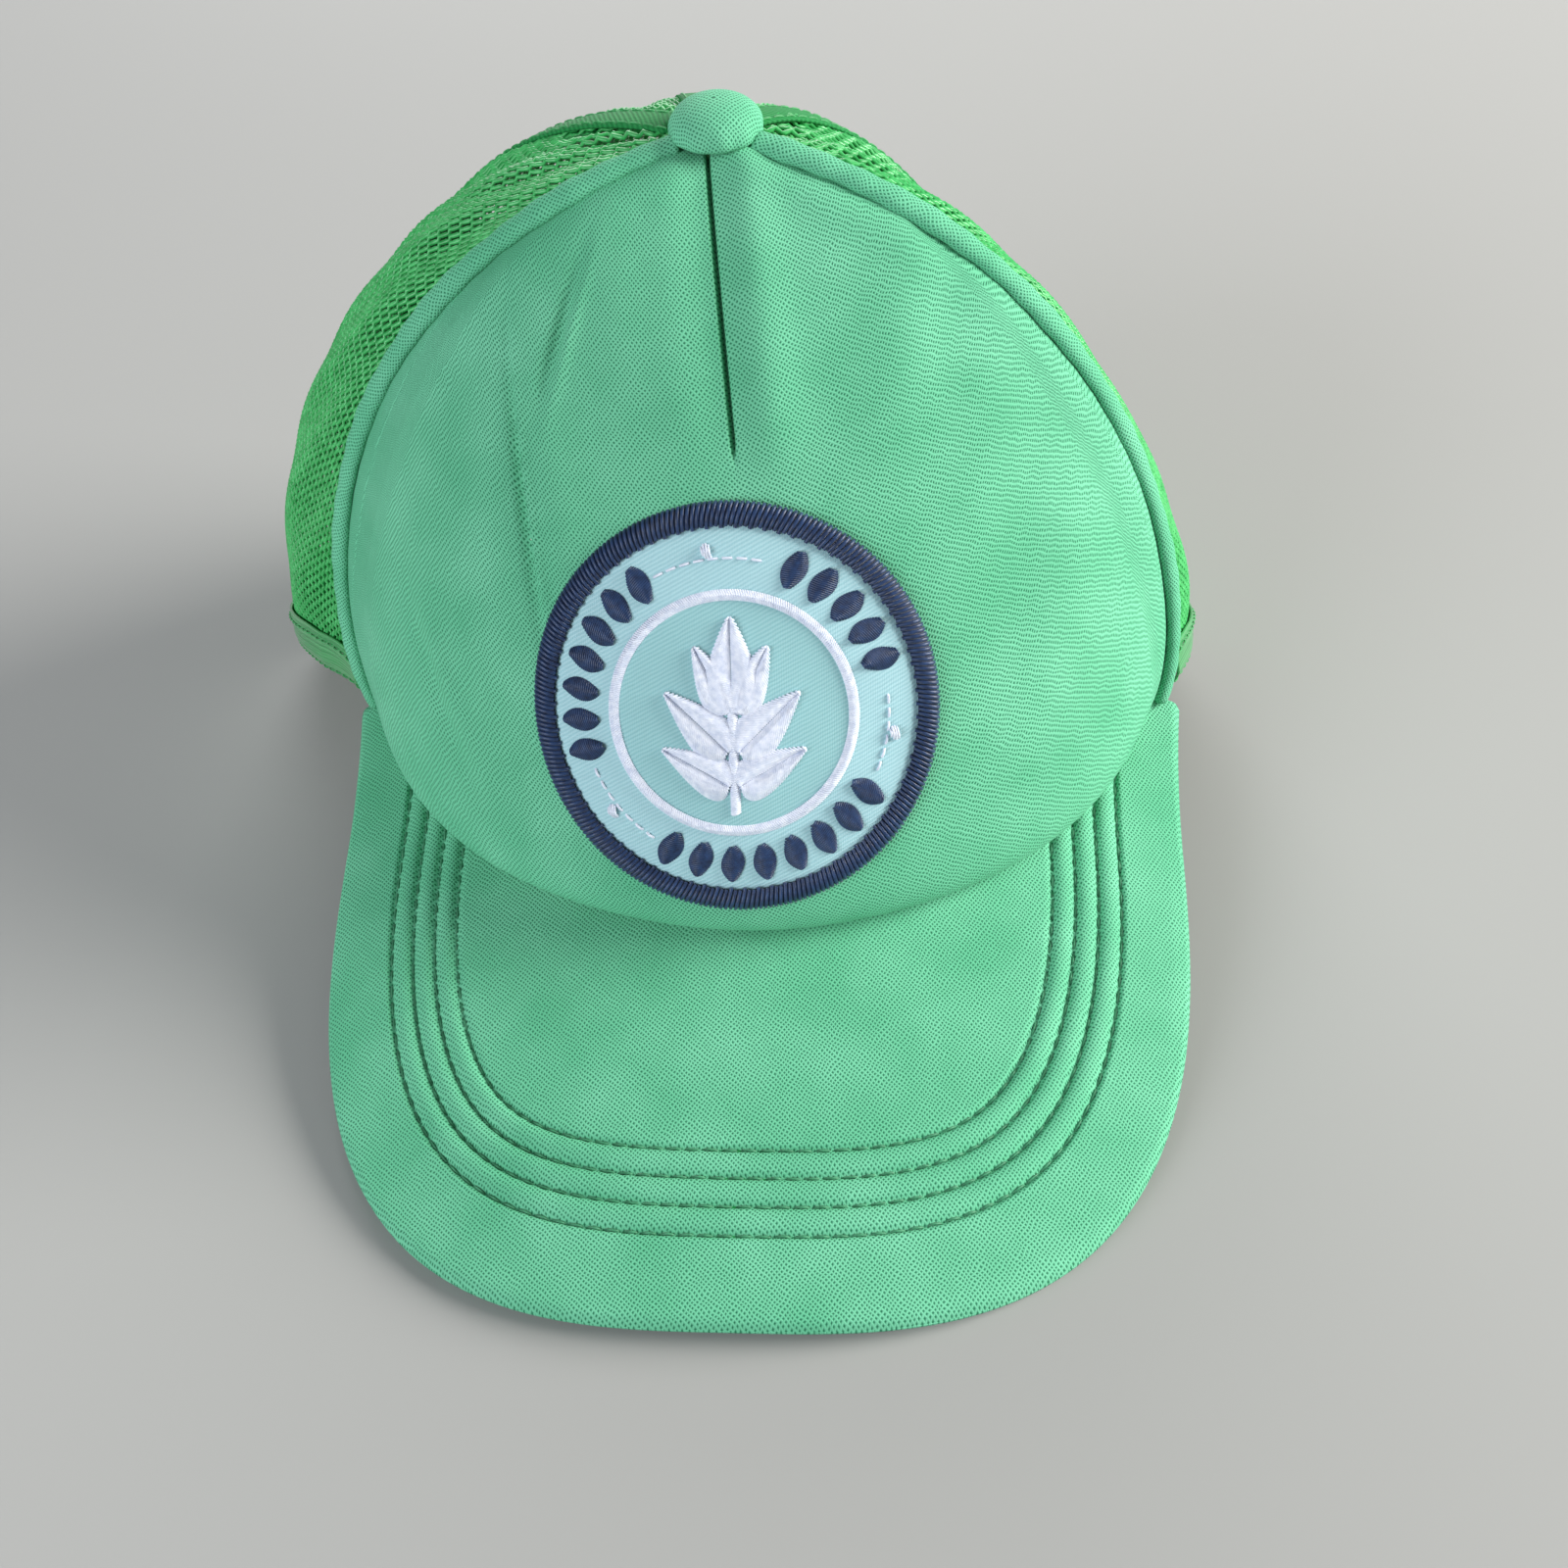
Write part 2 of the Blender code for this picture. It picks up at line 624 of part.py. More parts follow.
def strap_line():
    """(middle point of the two straps, angle of the sewn tabs) at the right-hand side of the opening."""
    turn = opening_turn()
    climb = climb_at(turn, STRAP_LIFT + STRAP_WIDTH / 2)
    point = crown_point(turn, climb, STRAP_DEPTH)
    ahead = crown_point(turn - TAB_LENGTH / (RIM_HALF_WIDTH + RIM_FLARE), climb, STRAP_DEPTH)
    return point, math.atan2(ahead.y - point.y, ahead.x - point.x)


def make_strap(name, side, y, plastic):
    """Free part of one strap, hinged at its root. Its origin lies on the hinge's axis."""
    shift = middle_x()
    root = side * HINGE_HALF_SPAN
    reach = PEG_PITCH * ((PEGS_FASTENED - 1) / 2 + 0.55)
    low_x, high_x = sorted((root - side * HINGE_GAP, -side * reach))
    z = STRAP_LIFT
    low, high = (low_x - root, -STRAP / 2, z), (high_x - root, STRAP / 2, z + STRAP_WIDTH)
    strap = block(name, low, high, plastic, bevel=STRAP_ROUNDING)
    strap.location = (root + shift, y, 0)
    first = -(PEGS_FASTENED - 1) / 2
    places = [side * PEG_PITCH * (first + i) - root for i in range(PEGS)]
    return strap, [(x, z + STRAP_WIDTH / 2) for x in places]


def middle_x():
    """The opening's middle, which sways with the mesh half."""
    return SIDE_SWAY


def make_closure(plastic):
    """Two straps that overlap flat behind the opening: pegs on the left one, holes in the right one."""
    point, tab_angle = strap_line()
    offset = (STRAP + GAP) / 2
    peg_y, hole_y = point.y - offset, point.y + offset

    pegged, places = make_strap("peg_strap", -1, peg_y, plastic)
    peg_length = STRAP / 2 + GAP + STRAP + PEG_STAND
    pegs = cylinders("pegs", PEG_RADIUS, peg_length, [(x, peg_length / 2, z) for x, z in places])
    pegs.location = pegged.location
    combine(pegged, pegs, "UNION")

    holed, places = make_strap("hole_strap", 1, hole_y, plastic)
    holes = cylinders("holes", PEG_RADIUS + HOLE_CLEARANCE, 3 * STRAP, [(x, 0, z) for x, z in places])
    holes.location = holed.location
    combine(holed, holes, "DIFFERENCE")

    for name, side, y in (("peg_strap_tab", -1, peg_y), ("hole_strap_tab", 1, hole_y)):
        ends = sorted((side * HINGE_GAP, side * (HINGE_GAP + TAB_LENGTH)))
        low, high = (ends[0], -STRAP / 2, STRAP_LIFT), (ends[1], STRAP / 2, STRAP_LIFT + STRAP_WIDTH)
        tab = block(name, low, high, plastic)
        tab.location = (side * HINGE_HALF_SPAN + middle_x(), y, 0)
        tab.rotation_euler = (0, 0, side * tab_angle)


# Assembly


def centre_on_origin():
    """Stands the finished cap on the ground, with the middle of its box over the origin."""
    bpy.context.view_layer.update()
    graph = bpy.context.evaluated_depsgraph_get()
    corners = []
    for thing in bpy.data.collections["cap"].objects:
        solid = thing.evaluated_get(graph)
        mesh = solid.to_mesh()
        corners += [solid.matrix_world @ vertex.co for vertex in mesh.vertices]
        solid.to_mesh_clear()
    points = np.array(corners)
    low, high = points.min(axis=0), points.max(axis=0)
    shift = bpy.data.objects.new("cap_origin", None)
    bpy.data.collections["cutters"].objects.link(shift)
    for thing in [*bpy.data.collections["cap"].objects, *bpy.data.collections["cutters"].objects]:
        if thing is not shift:
            thing.parent = shift
    shift.location = (-(low[0] + high[0]) / 2, -(low[1] + high[1]) / 2, -low[2])


def main():
    for thing in list(bpy.data.objects):
        bpy.data.objects.remove(thing)
    for name in ("cap", "cutters"):
        bpy.context.scene.collection.children.link(bpy.data.collections.new(name))
    mint = material("mint_tricot", MINT, 0.8)
    grass = material("green_mesh", GRASS, 0.6)
    tape = material("green_tape", GRASS, 0.8)
    foam = material("foam", FOAM_WHITE, 0.9)
    clear = material("clear_tape", GRASS, 0.25)
    board = material("visor_plastic", WHITE, 0.5)
    plastic = material("strap_plastic", GRASS, 0.35)
    steel = material("zinc_steel", STEEL, 0.35, 1.0)
    ice = material("ice_twill", ICE, 0.8)
    navy = material("navy_thread", NAVY, 0.5)
    white = material("white_thread", WHITE, 0.5)

    make_front(mint, foam)
    for name, side in (("left", -1), ("right", 1)):
        make_side_mesh(f"side_mesh_{name}", side, grass)
        make_back_mesh(f"back_mesh_{name}", side, grass)
        make_piping(f"seam_piping_{name}", side, mint)
        make_hem(f"hem_tape_{name}", side, clear)
    make_tapes(tape)
    make_sweatband(tape)
    make_opening_binding(tape)
    make_visor(mint, board)
    make_patch(ice, navy, white)
    make_button(mint, steel)
    make_closure(plastic)
    centre_on_origin()


main()
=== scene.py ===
import json
import math

import bmesh
import bpy
import numpy as np
from mathutils import Matrix, Vector


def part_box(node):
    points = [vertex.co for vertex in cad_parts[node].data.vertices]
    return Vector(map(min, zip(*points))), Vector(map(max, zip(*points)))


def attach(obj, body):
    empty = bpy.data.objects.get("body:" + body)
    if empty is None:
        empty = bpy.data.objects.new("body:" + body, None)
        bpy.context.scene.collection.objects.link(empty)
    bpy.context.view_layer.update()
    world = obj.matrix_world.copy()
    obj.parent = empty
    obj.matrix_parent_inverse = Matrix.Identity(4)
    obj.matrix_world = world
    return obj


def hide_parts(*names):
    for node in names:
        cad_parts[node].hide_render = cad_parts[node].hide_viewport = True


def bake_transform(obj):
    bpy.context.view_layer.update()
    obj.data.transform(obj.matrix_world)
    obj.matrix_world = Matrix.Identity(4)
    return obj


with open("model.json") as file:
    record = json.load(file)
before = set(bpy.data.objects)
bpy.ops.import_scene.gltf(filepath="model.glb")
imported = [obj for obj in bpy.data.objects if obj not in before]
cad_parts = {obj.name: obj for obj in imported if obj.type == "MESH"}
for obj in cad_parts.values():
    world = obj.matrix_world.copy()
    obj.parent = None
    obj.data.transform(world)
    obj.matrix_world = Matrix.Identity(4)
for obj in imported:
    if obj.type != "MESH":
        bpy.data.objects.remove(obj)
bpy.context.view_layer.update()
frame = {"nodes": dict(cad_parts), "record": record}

# The crown's cut: the same surface that the sewn pieces follow, in metres and degrees.
crown = {
    "halfWidth": 0.086, "flare": 0.0275, "front": 0.072, "back": 0.090,
    "flareStart": 72, "flareSpan": 44, "sway": -0.015, "swayStart": 75, "swaySpan": 45,
    "height": 0.143, "buttonBack": 0.013, "buttonSide": -0.0015, "buttonSeat": 0.0009,
    "rimOut": (0.0055, -0.0025, 0.0055), "rimUp": (0.023, 0.063, 0.065),
    "topOut": (0.025, 0.050, 0.045), "topUp": (0.0, 0.0035, 0.0085),
    "bulge": 0.0042, "bulgeClimb": 0.096, "top": 0.955,
    "frontSeam": 78, "seamTaper": -10, "seamBow": 10.5, "sideSeam": 136,
    "settle": 45, "openingHalf": 0.040, "openingClimb": 0.36,
}
visor = {
    "halfWidth": 0.088, "widest": 0.048, "reach": 0.096, "roundness": 2.8, "slope": 0.27, "bend": 0.310,
    "corner": 79, "tuck": 0.004, "tip": 0.004, "thick": 0.0040,
    "straight": 0.22, "columns": 261, "wall": 0.0007,
    # rows of stitching: how many, how far apart, and how far the outermost lies from the edge
    "rows": 4, "frontGap": 0.0050, "sideGap": 0.0046, "frontInset": 0.0154, "sideInset": 0.0138,
    "stitch": 0.0035, "groove": 0.0011, "grooveWidth": 0.00055, "quilt": 0.0005,
}

# The crown's own origin in the shared frame, found from the button.
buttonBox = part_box("button_cover")
place = np.array([
    (buttonBox[0][0] + buttonBox[1][0]) / 2 - crown["buttonSide"],
    (buttonBox[0][1] + buttonBox[1][1]) / 2 - crown["buttonBack"],
    0.0,
])


def smoothStep(x):
    x = np.clip(x, 0.0, 1.0)
    return x * x * (3 - 2 * x)


# Blends values given for the front, the side and the back into one that runs smoothly round the cap.
def around(values, turn):
    front, side, back = values
    swing, fold = (front - back) / 2, (front + back - 2 * side) / 4
    return side + fold + swing * np.cos(turn) + fold * np.cos(2 * turn)


# The rim seen from above.
def rimPlan(turn):
    half = crown["halfWidth"] + crown["flare"] * smoothStep(
        (np.abs(np.degrees(turn)) - crown["flareStart"]) / crown["flareSpan"]
    )
    reach = np.where(np.cos(turn) > 0, crown["front"], crown["back"])
    return half * np.sin(turn), -reach * np.cos(turn)


# The visor bends down to both sides and slopes down to the front.
def visorDroop(x, y):
    return visor["slope"] * (y + crown["front"]) - (visor["bend"] - np.sqrt(visor["bend"] ** 2 - x * x))


# The visor's edge seen from above, from one corner round the front to the other.
def visorOutline(share):
    share = np.asarray(share, float)
    side = np.where(share > 0.5, 1.0, -1.0)
    along = 1 - np.abs(2 * share - 1)
    cornerX, cornerY = rimPlan(math.radians(visor["corner"]))
    cornerX = cornerX + visor["tip"]
    straight = visor["straight"]
    back = np.clip(1 - along / straight, 0, 1)
    xBack = visor["halfWidth"] - (visor["halfWidth"] - cornerX) * back**2
    yBack = -visor["widest"] + (cornerY + visor["widest"]) * back
    turn = np.clip((along - straight) / (1 - straight), 0, 1) * math.pi / 2
    xFront = visor["halfWidth"] * np.maximum(np.cos(turn), 0) ** (2 / visor["roundness"])
    yFront = -visor["widest"] - visor["reach"] * np.sin(turn) ** (2 / visor["roundness"])
    onSide = along < straight
    return side * np.where(onSide, xBack, xFront), np.where(onSide, yBack, yFront)


seamHeight = visor["thick"] - visorDroop(*visorOutline(np.linspace(0, 1, 201))).min()


def visorHeight(x, y):
    return seamHeight + visorDroop(x, y)


# The rim lies on the visor at the front, and settles to the ground behind its corners.
def rimHeight(turn):
    corner = math.radians(visor["corner"])
    inside = visorHeight(*rimPlan(np.clip(turn, -corner, corner)))
    settle = smoothStep((np.abs(np.degrees(turn)) - visor["corner"]) / crown["settle"])
    return inside * (1 - settle)


# The crown's surface. Turn is the bearing from the front, and climb runs from the rim to the button.
def bareCrown(turn, climb):
    turn, climb = np.broadcast_arrays(np.asarray(turn, float), np.asarray(climb, float))
    x, y = rimPlan(turn)
    rim = np.stack([x, y, rimHeight(turn)], -1)
    top = np.array([crown["buttonSide"], crown["buttonBack"], crown["height"]])
    flat = rim - top
    flat[..., 2] = 0
    outward = flat / np.linalg.norm(flat, axis=-1, keepdims=True)
    up = np.array([0, 0, 1.0])
    reach = lambda name: around(crown[name], turn)[..., None]
    low = rim + outward * reach("rimOut") + up * reach("rimUp")
    high = top + outward * reach("topOut") + up * reach("topUp")
    c = climb[..., None]
    rest = 1 - c
    point = rest**3 * rim + 3 * c * rest**2 * low + 3 * c**2 * rest * high + c**3 * top
    swell = climb / crown["bulgeClimb"] * np.exp(1 - climb / crown["bulgeClimb"])
    swell = swell * crown["bulge"] * (0.25 + 0.75 * np.maximum(np.cos(turn), 0) ** 2)
    point = point + outward * swell[..., None]
    sway = smoothStep((np.abs(np.degrees(turn)) - crown["swayStart"]) / crown["swaySpan"])
    point[..., 0] += crown["sway"] * sway * (1 - climb**3)
    return point


# The surface's point and outward normal, and the metres in a radian of turn.
def crownFrame(turn, climb):
    step = 1e-4
    point = bareCrown(turn, climb)
    across = (bareCrown(turn + step, climb) - bareCrown(turn - step, climb)) / (2 * step)
    up = (bareCrown(turn, climb + step) - bareCrown(turn, climb - step)) / (2 * step)
    normal = np.cross(across, up)
    normal /= np.linalg.norm(normal, axis=-1, keepdims=True)
    return point, normal, np.linalg.norm(across, axis=-1)


def runningLength(points):
    return np.concatenate([[0], np.cumsum(np.linalg.norm(np.diff(points, axis=0), axis=1))])


# Climbs and lengths of cloth from the rim, along one turn of the crown.
def meridian(turn, count=201):
    climbs = np.linspace(0, 1, count)
    return climbs, runningLength(bareCrown(np.full(count, float(turn)), climbs))


# A line sewn on the crown: its points, normals, the direction across it, and the length along it.
def seamFrame(turn, climb):
    point, normal, _ = crownFrame(turn, climb)
    along = np.gradient(point, axis=0)
    along /= np.linalg.norm(along, axis=1, keepdims=True)
    return point, normal, np.cross(along, normal), runningLength(point)


frontClimbs, frontLengths = meridian(0)


def hump(x, width):
    return np.exp(-((x / width) ** 2))


# Soft shapes of the foam front: across and up from the seam's middle, tilt, length, width and depth.
folds = [
    (-0.0395, 0.080, 0.17, 0.019, 0.0010, -0.0018),
    (-0.0400, 0.080, 0.22, 0.024, 0.0050, -0.0008),
    (-0.0310, 0.111, -0.29, 0.012, 0.0013, -0.0014),
    (-0.0630, 0.033, 0.62, 0.012, 0.0028, -0.0010),
    (-0.0600, 0.090, 0.25, 0.022, 0.0090, -0.0006),
    (0.0560, 0.060, -0.35, 0.026, 0.0100, -0.0005),
    (0.0360, 0.112, -0.25, 0.026, 0.0080, 0.0006),
    (-0.0180, 0.118, 0.20, 0.022, 0.0080, 0.0005),
]
dart = {
    "end": 0.595, "fade": 0.05, "sharpFade": 0.012, "drift": 0.0715, "pivot": 0.128,
    "fold": 0.0005, "crease": 0.0024, "creaseWidth": 0.00042, "puff": 0.0012,
}


# Distance of the dart's stitched line from the middle of the front: it drifts a little on its way up.
def dartLine(up):
    return dart["drift"] * (dart["pivot"] - up)


def dartCrease(off, climb):
    return smoothStep((climb - dart["end"]) / (2 * dart["sharpFade"]) + 0.5) * hump(off, dart["creaseWidth"])


def frontRelief(across, up, climb):
    off = across - dartLine(up)
    fade = smoothStep((climb - dart["end"] + dart["fade"]) / (2 * dart["fade"]))
    relief = -dart["fold"] * hump(off, 0.0045)
    relief = relief + dart["puff"] * (1.25 * hump(off - 0.0065, 0.0055) + 0.6 * hump(off + 0.0075, 0.006))
    relief = relief * fade - dart["crease"] * dartCrease(off, climb)
    for a, b, tilt, length, width, depth in folds:
        da, db = across - a, up - b
        side = da * math.cos(tilt) + db * math.sin(tilt)
        along = -da * math.sin(tilt) + db * math.cos(tilt)
        relief = relief + depth * hump(side, width) * hump(along, length)
        relief = relief - 0.55 * depth * hump(side - 1.7 * width, width) * hump(along, length)
    wave = np.sin(across * 92 + 1.3) * np.sin(up * 71 + 0.4) + 0.6 * np.sin(across * 47 - up * 63)
    return relief + 0.00022 * wave


def toLinear(hexColour):
    parts = [int(hexColour[i:i + 2], 16) / 255 for i in (1, 3, 5)]
    return (*[c / 12.92 if c <= 0.04045 else ((c + 0.055) / 1.055) ** 2.4 for c in parts], 1.0)


# Settings are a node's own properties, its inputs' values, or the two stops of a colour ramp.
def addNode(tree, kind, settings=None, links=None):
    node = tree.nodes.new(kind)
    for key, value in (settings or {}).items():
        if key == "ramp":
            for stop, (position, colour) in zip(node.color_ramp.elements, value):
                stop.position, stop.color = position, toLinear(colour)
        elif isinstance(key, str) and hasattr(node, key):
            setattr(node, key, value)
        else:
            node.inputs[key].default_value = value
    for key, source in (links or {}).items():
        tree.links.new(source, node.inputs[key])
    return node


def newMaterial(name, **shaderValues):
    made = bpy.data.materials.new(name)
    made.use_nodes = True
    shader = made.node_tree.nodes["Principled BSDF"]
    for key, value in shaderValues.items():
        shader.inputs[key.replace("_", " ")].default_value = value
    return made, made.node_tree, shader


# Small differences of dye and light-catching fibre: the colour wanders between two shades.
def mottled(tree, vector, dark, light, scale, detail=3.0, low=0.3, high=0.7):
    noise = addNode(tree, "ShaderNodeTexNoise", {"Scale": scale, "Detail": detail}, {"Vector": vector})
    stops = ((low, dark), (high, light))
    return addNode(tree, "ShaderNodeValToRGB", {"ramp": stops}, {0: noise.outputs[0]}).outputs[0]


# Gives a shader its colour and a relief that stands this many metres.
def dress(tree, shader, colour, height, strength, distance):
    tree.links.new(colour, shader.inputs["Base Color"])
    bump = addNode(tree, "ShaderNodeBump", {"Strength": strength, "Distance": distance}, {"Height": height})
    tree.links.new(bump.outputs[0], shader.inputs["Normal"])


# A family of ribs, one every pitch metres, turned by angle on the cloth and wavering as knit does.
def ribs(tree, vector, pitch, angle, waver=0.0):
    turned = addNode(tree, "ShaderNodeMapping", {"Rotation": (0, 0, math.radians(angle))}, {0: vector})
    wave = addNode(
        tree,
        "ShaderNodeTexWave",
        {"Scale": math.pi / 10 / pitch, "Distortion": waver, "Detail": 0.0, "Detail Scale": 1.0},
        {"Vector": turned.outputs[0]},
    )
    return wave.outputs[1]


def clothCoordinates(tree):
    return addNode(tree, "ShaderNodeUVMap", {"uv_map": "cloth"}).outputs[0]


def objectCoordinates(tree):
    return addNode(tree, "ShaderNodeTexCoord").outputs["Object"]


# The stitches are drawn a little larger than real ones, so that they show.
# The pit colour is painted shade: the dark of the hollows between the stitches.
knit = {
    "pitch": 0.00066, "waver": 3.0, "bump": 0.00011, "roughness": 0.72,
    "dark": "#64be93", "light": "#7acfa7", "pitShade": "#207350", "bloom": "#a8f5cd",
}


# Brushed polyester tricot, warp-knit and laminated to foam: close rows of small stitches run across it
# on a slant, with a soft bloom of loose fibre where it turns away.
def brushedTricot():
    made, tree, shader = newMaterial(
        "brushedTricot", Roughness=knit["roughness"], Sheen_Weight=0.12, Sheen_Roughness=0.4,
        Sheen_Tint=toLinear(knit["bloom"]), Specular_IOR_Level=0.2,
    )
    cloth = clothCoordinates(tree)
    solid = objectCoordinates(tree)
    first = ribs(tree, cloth, knit["pitch"], 34, knit["waver"])
    second = ribs(tree, cloth, knit["pitch"] * 1.04, -54, knit["waver"])
    stitches = addNode(tree, "ShaderNodeMath", {"operation": "MAXIMUM"}, {0: first, 1: second}).outputs[0]
    shade = mottled(tree, solid, knit["dark"], knit["light"], 55)
    # Painted shade: where the stitches sink, the colour is mixed towards the dark pit colour.
    holes = addNode(
        tree, "ShaderNodeValToRGB", {"ramp": ((0.10, "#000000"), (0.80, "#ffffff"))}, {0: stitches}
    )
    pitShade = {"data_type": "RGBA", 6: toLinear(knit["pitShade"])}
    colour = addNode(tree, "ShaderNodeMix", pitShade, {0: holes.outputs[0], 7: shade})
    fuzz = addNode(tree, "ShaderNodeTexNoise", {"Scale": 2600, "Detail": 2.0}, {"Vector": solid})
    height = addNode(
        tree, "ShaderNodeMath", {"operation": "MULTIPLY_ADD", 1: 0.35}, {0: fuzz.outputs[0], 2: stitches}
    )
    dress(tree, shader, colour.outputs[2], height.outputs[0], 0.85, knit["bump"])
    return made


# Polyester yarn, warp-knit into netting and heat-set: hard, bright filaments that glint along the yarn.
def netYarn():
    made, tree, shader = newMaterial("netYarn", Roughness=0.42, Coat_Weight=0.25, Coat_Roughness=0.25)
    solid = objectCoordinates(tree)
    fibre = addNode(tree, "ShaderNodeTexNoise", {"Scale": 5200, "Detail": 1.0}, {"Vector": solid})
    dress(tree, shader, mottled(tree, solid, "#189a44", "#48c26a", 420, 2.0), fibre.outputs[0], 0.4, 0.00005)
    return made


# Embroidery rayon: silky twisted thread with a soft gleam.
def rayonThread(name, dark, light, roughness=0.42, sheen=0.2):
    made, tree, shader = newMaterial(name, Roughness=roughness, Sheen_Weight=sheen, Sheen_Roughness=0.4)
    solid = objectCoordinates(tree)
    twist = addNode(tree, "ShaderNodeTexNoise", {"Scale": 4200, "Detail": 1.0}, {"Vector": solid})
    colour = mottled(tree, solid, dark, light, 900, 2.0, 0.25, 0.75)
    dress(tree, shader, colour, twist.outputs[0], 0.5, 0.00006)
    return made


# Polyester twill: fine diagonal ridges crossed by fainter warp lines, which give a dry, flat look.
# The ground inside a disc of this radius may be dyed deeper.
def twill(name, dark, light, pitch=0.0007, angle=45, roughness=0.7, relief=0.00012, disc=None):
    made, tree, shader = newMaterial(
        name, Roughness=roughness, Sheen_Weight=0.04, Sheen_Roughness=0.5, Specular_IOR_Level=0.2
    )
    cloth = clothCoordinates(tree)
    diagonal = ribs(tree, cloth, pitch, angle, 1.0)
    warp = ribs(tree, cloth, pitch * 0.6, 0)
    faint = addNode(tree, "ShaderNodeMath", {"operation": "MULTIPLY", 1: 0.25}, {0: warp}).outputs[0]
    height = addNode(
        tree, "ShaderNodeMath", {"operation": "MULTIPLY_ADD", 1: 0.75}, {0: diagonal, 2: faint}
    ).outputs[0]
    # Painted shade: the colour follows the relief, darker down in the grooves and lighter up on the ridges.
    stops = ((0.15, dark), (0.75, light))
    colour = addNode(tree, "ShaderNodeValToRGB", {"ramp": stops}, {0: height}).outputs[0]
    if disc:
        reach = addNode(tree, "ShaderNodeVectorMath", {"operation": "LENGTH"}, {0: cloth}).outputs["Value"]
        within = {"operation": "LESS_THAN", 1: disc[0]}
        inside = addNode(tree, "ShaderNodeMath", within, {0: reach}).outputs[0]
        colour = addNode(
            tree, "ShaderNodeMix", {"data_type": "RGBA", "blend_type": "MULTIPLY", 7: toLinear(disc[1])},
            {0: inside, 6: colour},
        ).outputs[2]
    dress(tree, shader, colour, height, 0.8, relief)
    return made


# Clear nylon monofilament tape: long parallel filaments, glassy, with the green cloth showing through.
def monofilament():
    made, tree, shader = newMaterial(
        "monofilamentTape", Roughness=0.28, IOR=1.53, Coat_Weight=0.3, Coat_Roughness=0.12
    )
    cloth = clothCoordinates(tree)
    lines = ribs(tree, cloth, 0.00085, 90)
    drawn = addNode(tree, "ShaderNodeMapping", {"Scale": (40, 1400, 1)}, {0: cloth}).outputs[0]
    streak = addNode(tree, "ShaderNodeTexNoise", {"Scale": 1.0, "Detail": 2.0}, {"Vector": drawn}).outputs[0]
    stops = ((0.35, "#1d8a45"), (0.7, "#56b56e"))
    colour = addNode(tree, "ShaderNodeValToRGB", {"ramp": stops}, {0: streak})
    height = addNode(tree, "ShaderNodeMath", {"operation": "MULTIPLY_ADD", 1: 0.5}, {0: streak, 2: lines})
    dress(tree, shader, colour.outputs[0], height.outputs[0], 0.7, 0.00018)
    return made


# Open-cell polyurethane foam: pale, matt, full of tiny pores.
def openFoam():
    made, tree, shader = newMaterial("openCellFoam", Roughness=0.95)
    solid = objectCoordinates(tree)
    pores = addNode(tree, "ShaderNodeTexVoronoi", {"Scale": 900}, {"Vector": solid}).outputs[0]
    # Painted shade: each pore is coloured darker towards its sunken middle.
    stops = ((0.0, "#b9c4ae"), (1.0, "#e6eadc"))
    colour = addNode(tree, "ShaderNodeValToRGB", {"ramp": stops}, {0: pores})
    dress(tree, shader, colour.outputs[0], pores, 0.6, 0.0003)
    return made


# Injection-moulded polyethylene: waxy, a little translucent, with a faint orange-peel skin.
def mouldedPolythene():
    made, tree, shader = newMaterial(
        "mouldedPolythene", Roughness=0.34, IOR=1.51, Subsurface_Weight=0.15, Subsurface_Scale=0.002
    )
    solid = objectCoordinates(tree)
    peel = addNode(tree, "ShaderNodeTexNoise", {"Scale": 700, "Detail": 2.0}, {"Vector": solid})
    dress(tree, shader, mottled(tree, solid, "#179245", "#1fa352", 60), peel.outputs[0], 0.15, 0.0001)
    return made


# Zinc-plated steel, stamped: a cool grey, faintly clouded where the plating took unevenly.
def zincSteel():
    made, tree, shader = newMaterial("zincPlatedSteel", Metallic=1.0, Roughness=0.32)
    solid = objectCoordinates(tree)
    grain = addNode(tree, "ShaderNodeTexNoise", {"Scale": 800, "Detail": 3.0}, {"Vector": solid}).outputs[0]
    stops = ((0.0, "#9c9fa3"), (1.0, "#c4c7ca"))
    colour = addNode(tree, "ShaderNodeValToRGB", {"ramp": stops}, {0: grain})
    dress(tree, shader, colour.outputs[0], grain, 0.2, 0.00005)
    return made


tricot = brushedTricot()
yarn = netYarn()
# The visor's thread has the cloth's own mint; it is painted darker as the shade of its stitch grooves and
# needle holes.
shadedSeamYarn = rayonThread("shadedSewingThread", "#2a7350", "#4a9a72", 0.5)
greenYarn = rayonThread("greenSewingThread", "#17803c", "#3fae62", 0.5)
greenTwill = twill("greenBindingTwill", "#14783a", "#278f4a", 0.0008)
iceTwill = twill("iceBlueTwill", "#9fccd3", "#b4dbe1", 0.00070, 62, 0.65, 0.00010, (0.0215, "#e6f2ee"))
navyThread = rayonThread("navyRayon", "#122344", "#24406b")
# The overlock core shows only between the loops: it is painted near black, without sheen, as the shade there.
navyCoreShade = rayonThread("navyOverlockCoreShade", "#060d1d", "#0c1830", 0.7, 0.0)
whiteThread = rayonThread("whiteRayon", "#cdd6ea", "#f2f5ff", 0.4, 0.3)
clearTape = monofilament()
foam = openFoam()
polythene = mouldedPolythene()
steel = zincSteel()
print("materials made")


def linkPiece(name, mesh):
    piece = bpy.data.objects.new(name, mesh)
    bpy.context.scene.collection.objects.link(piece)
    return piece


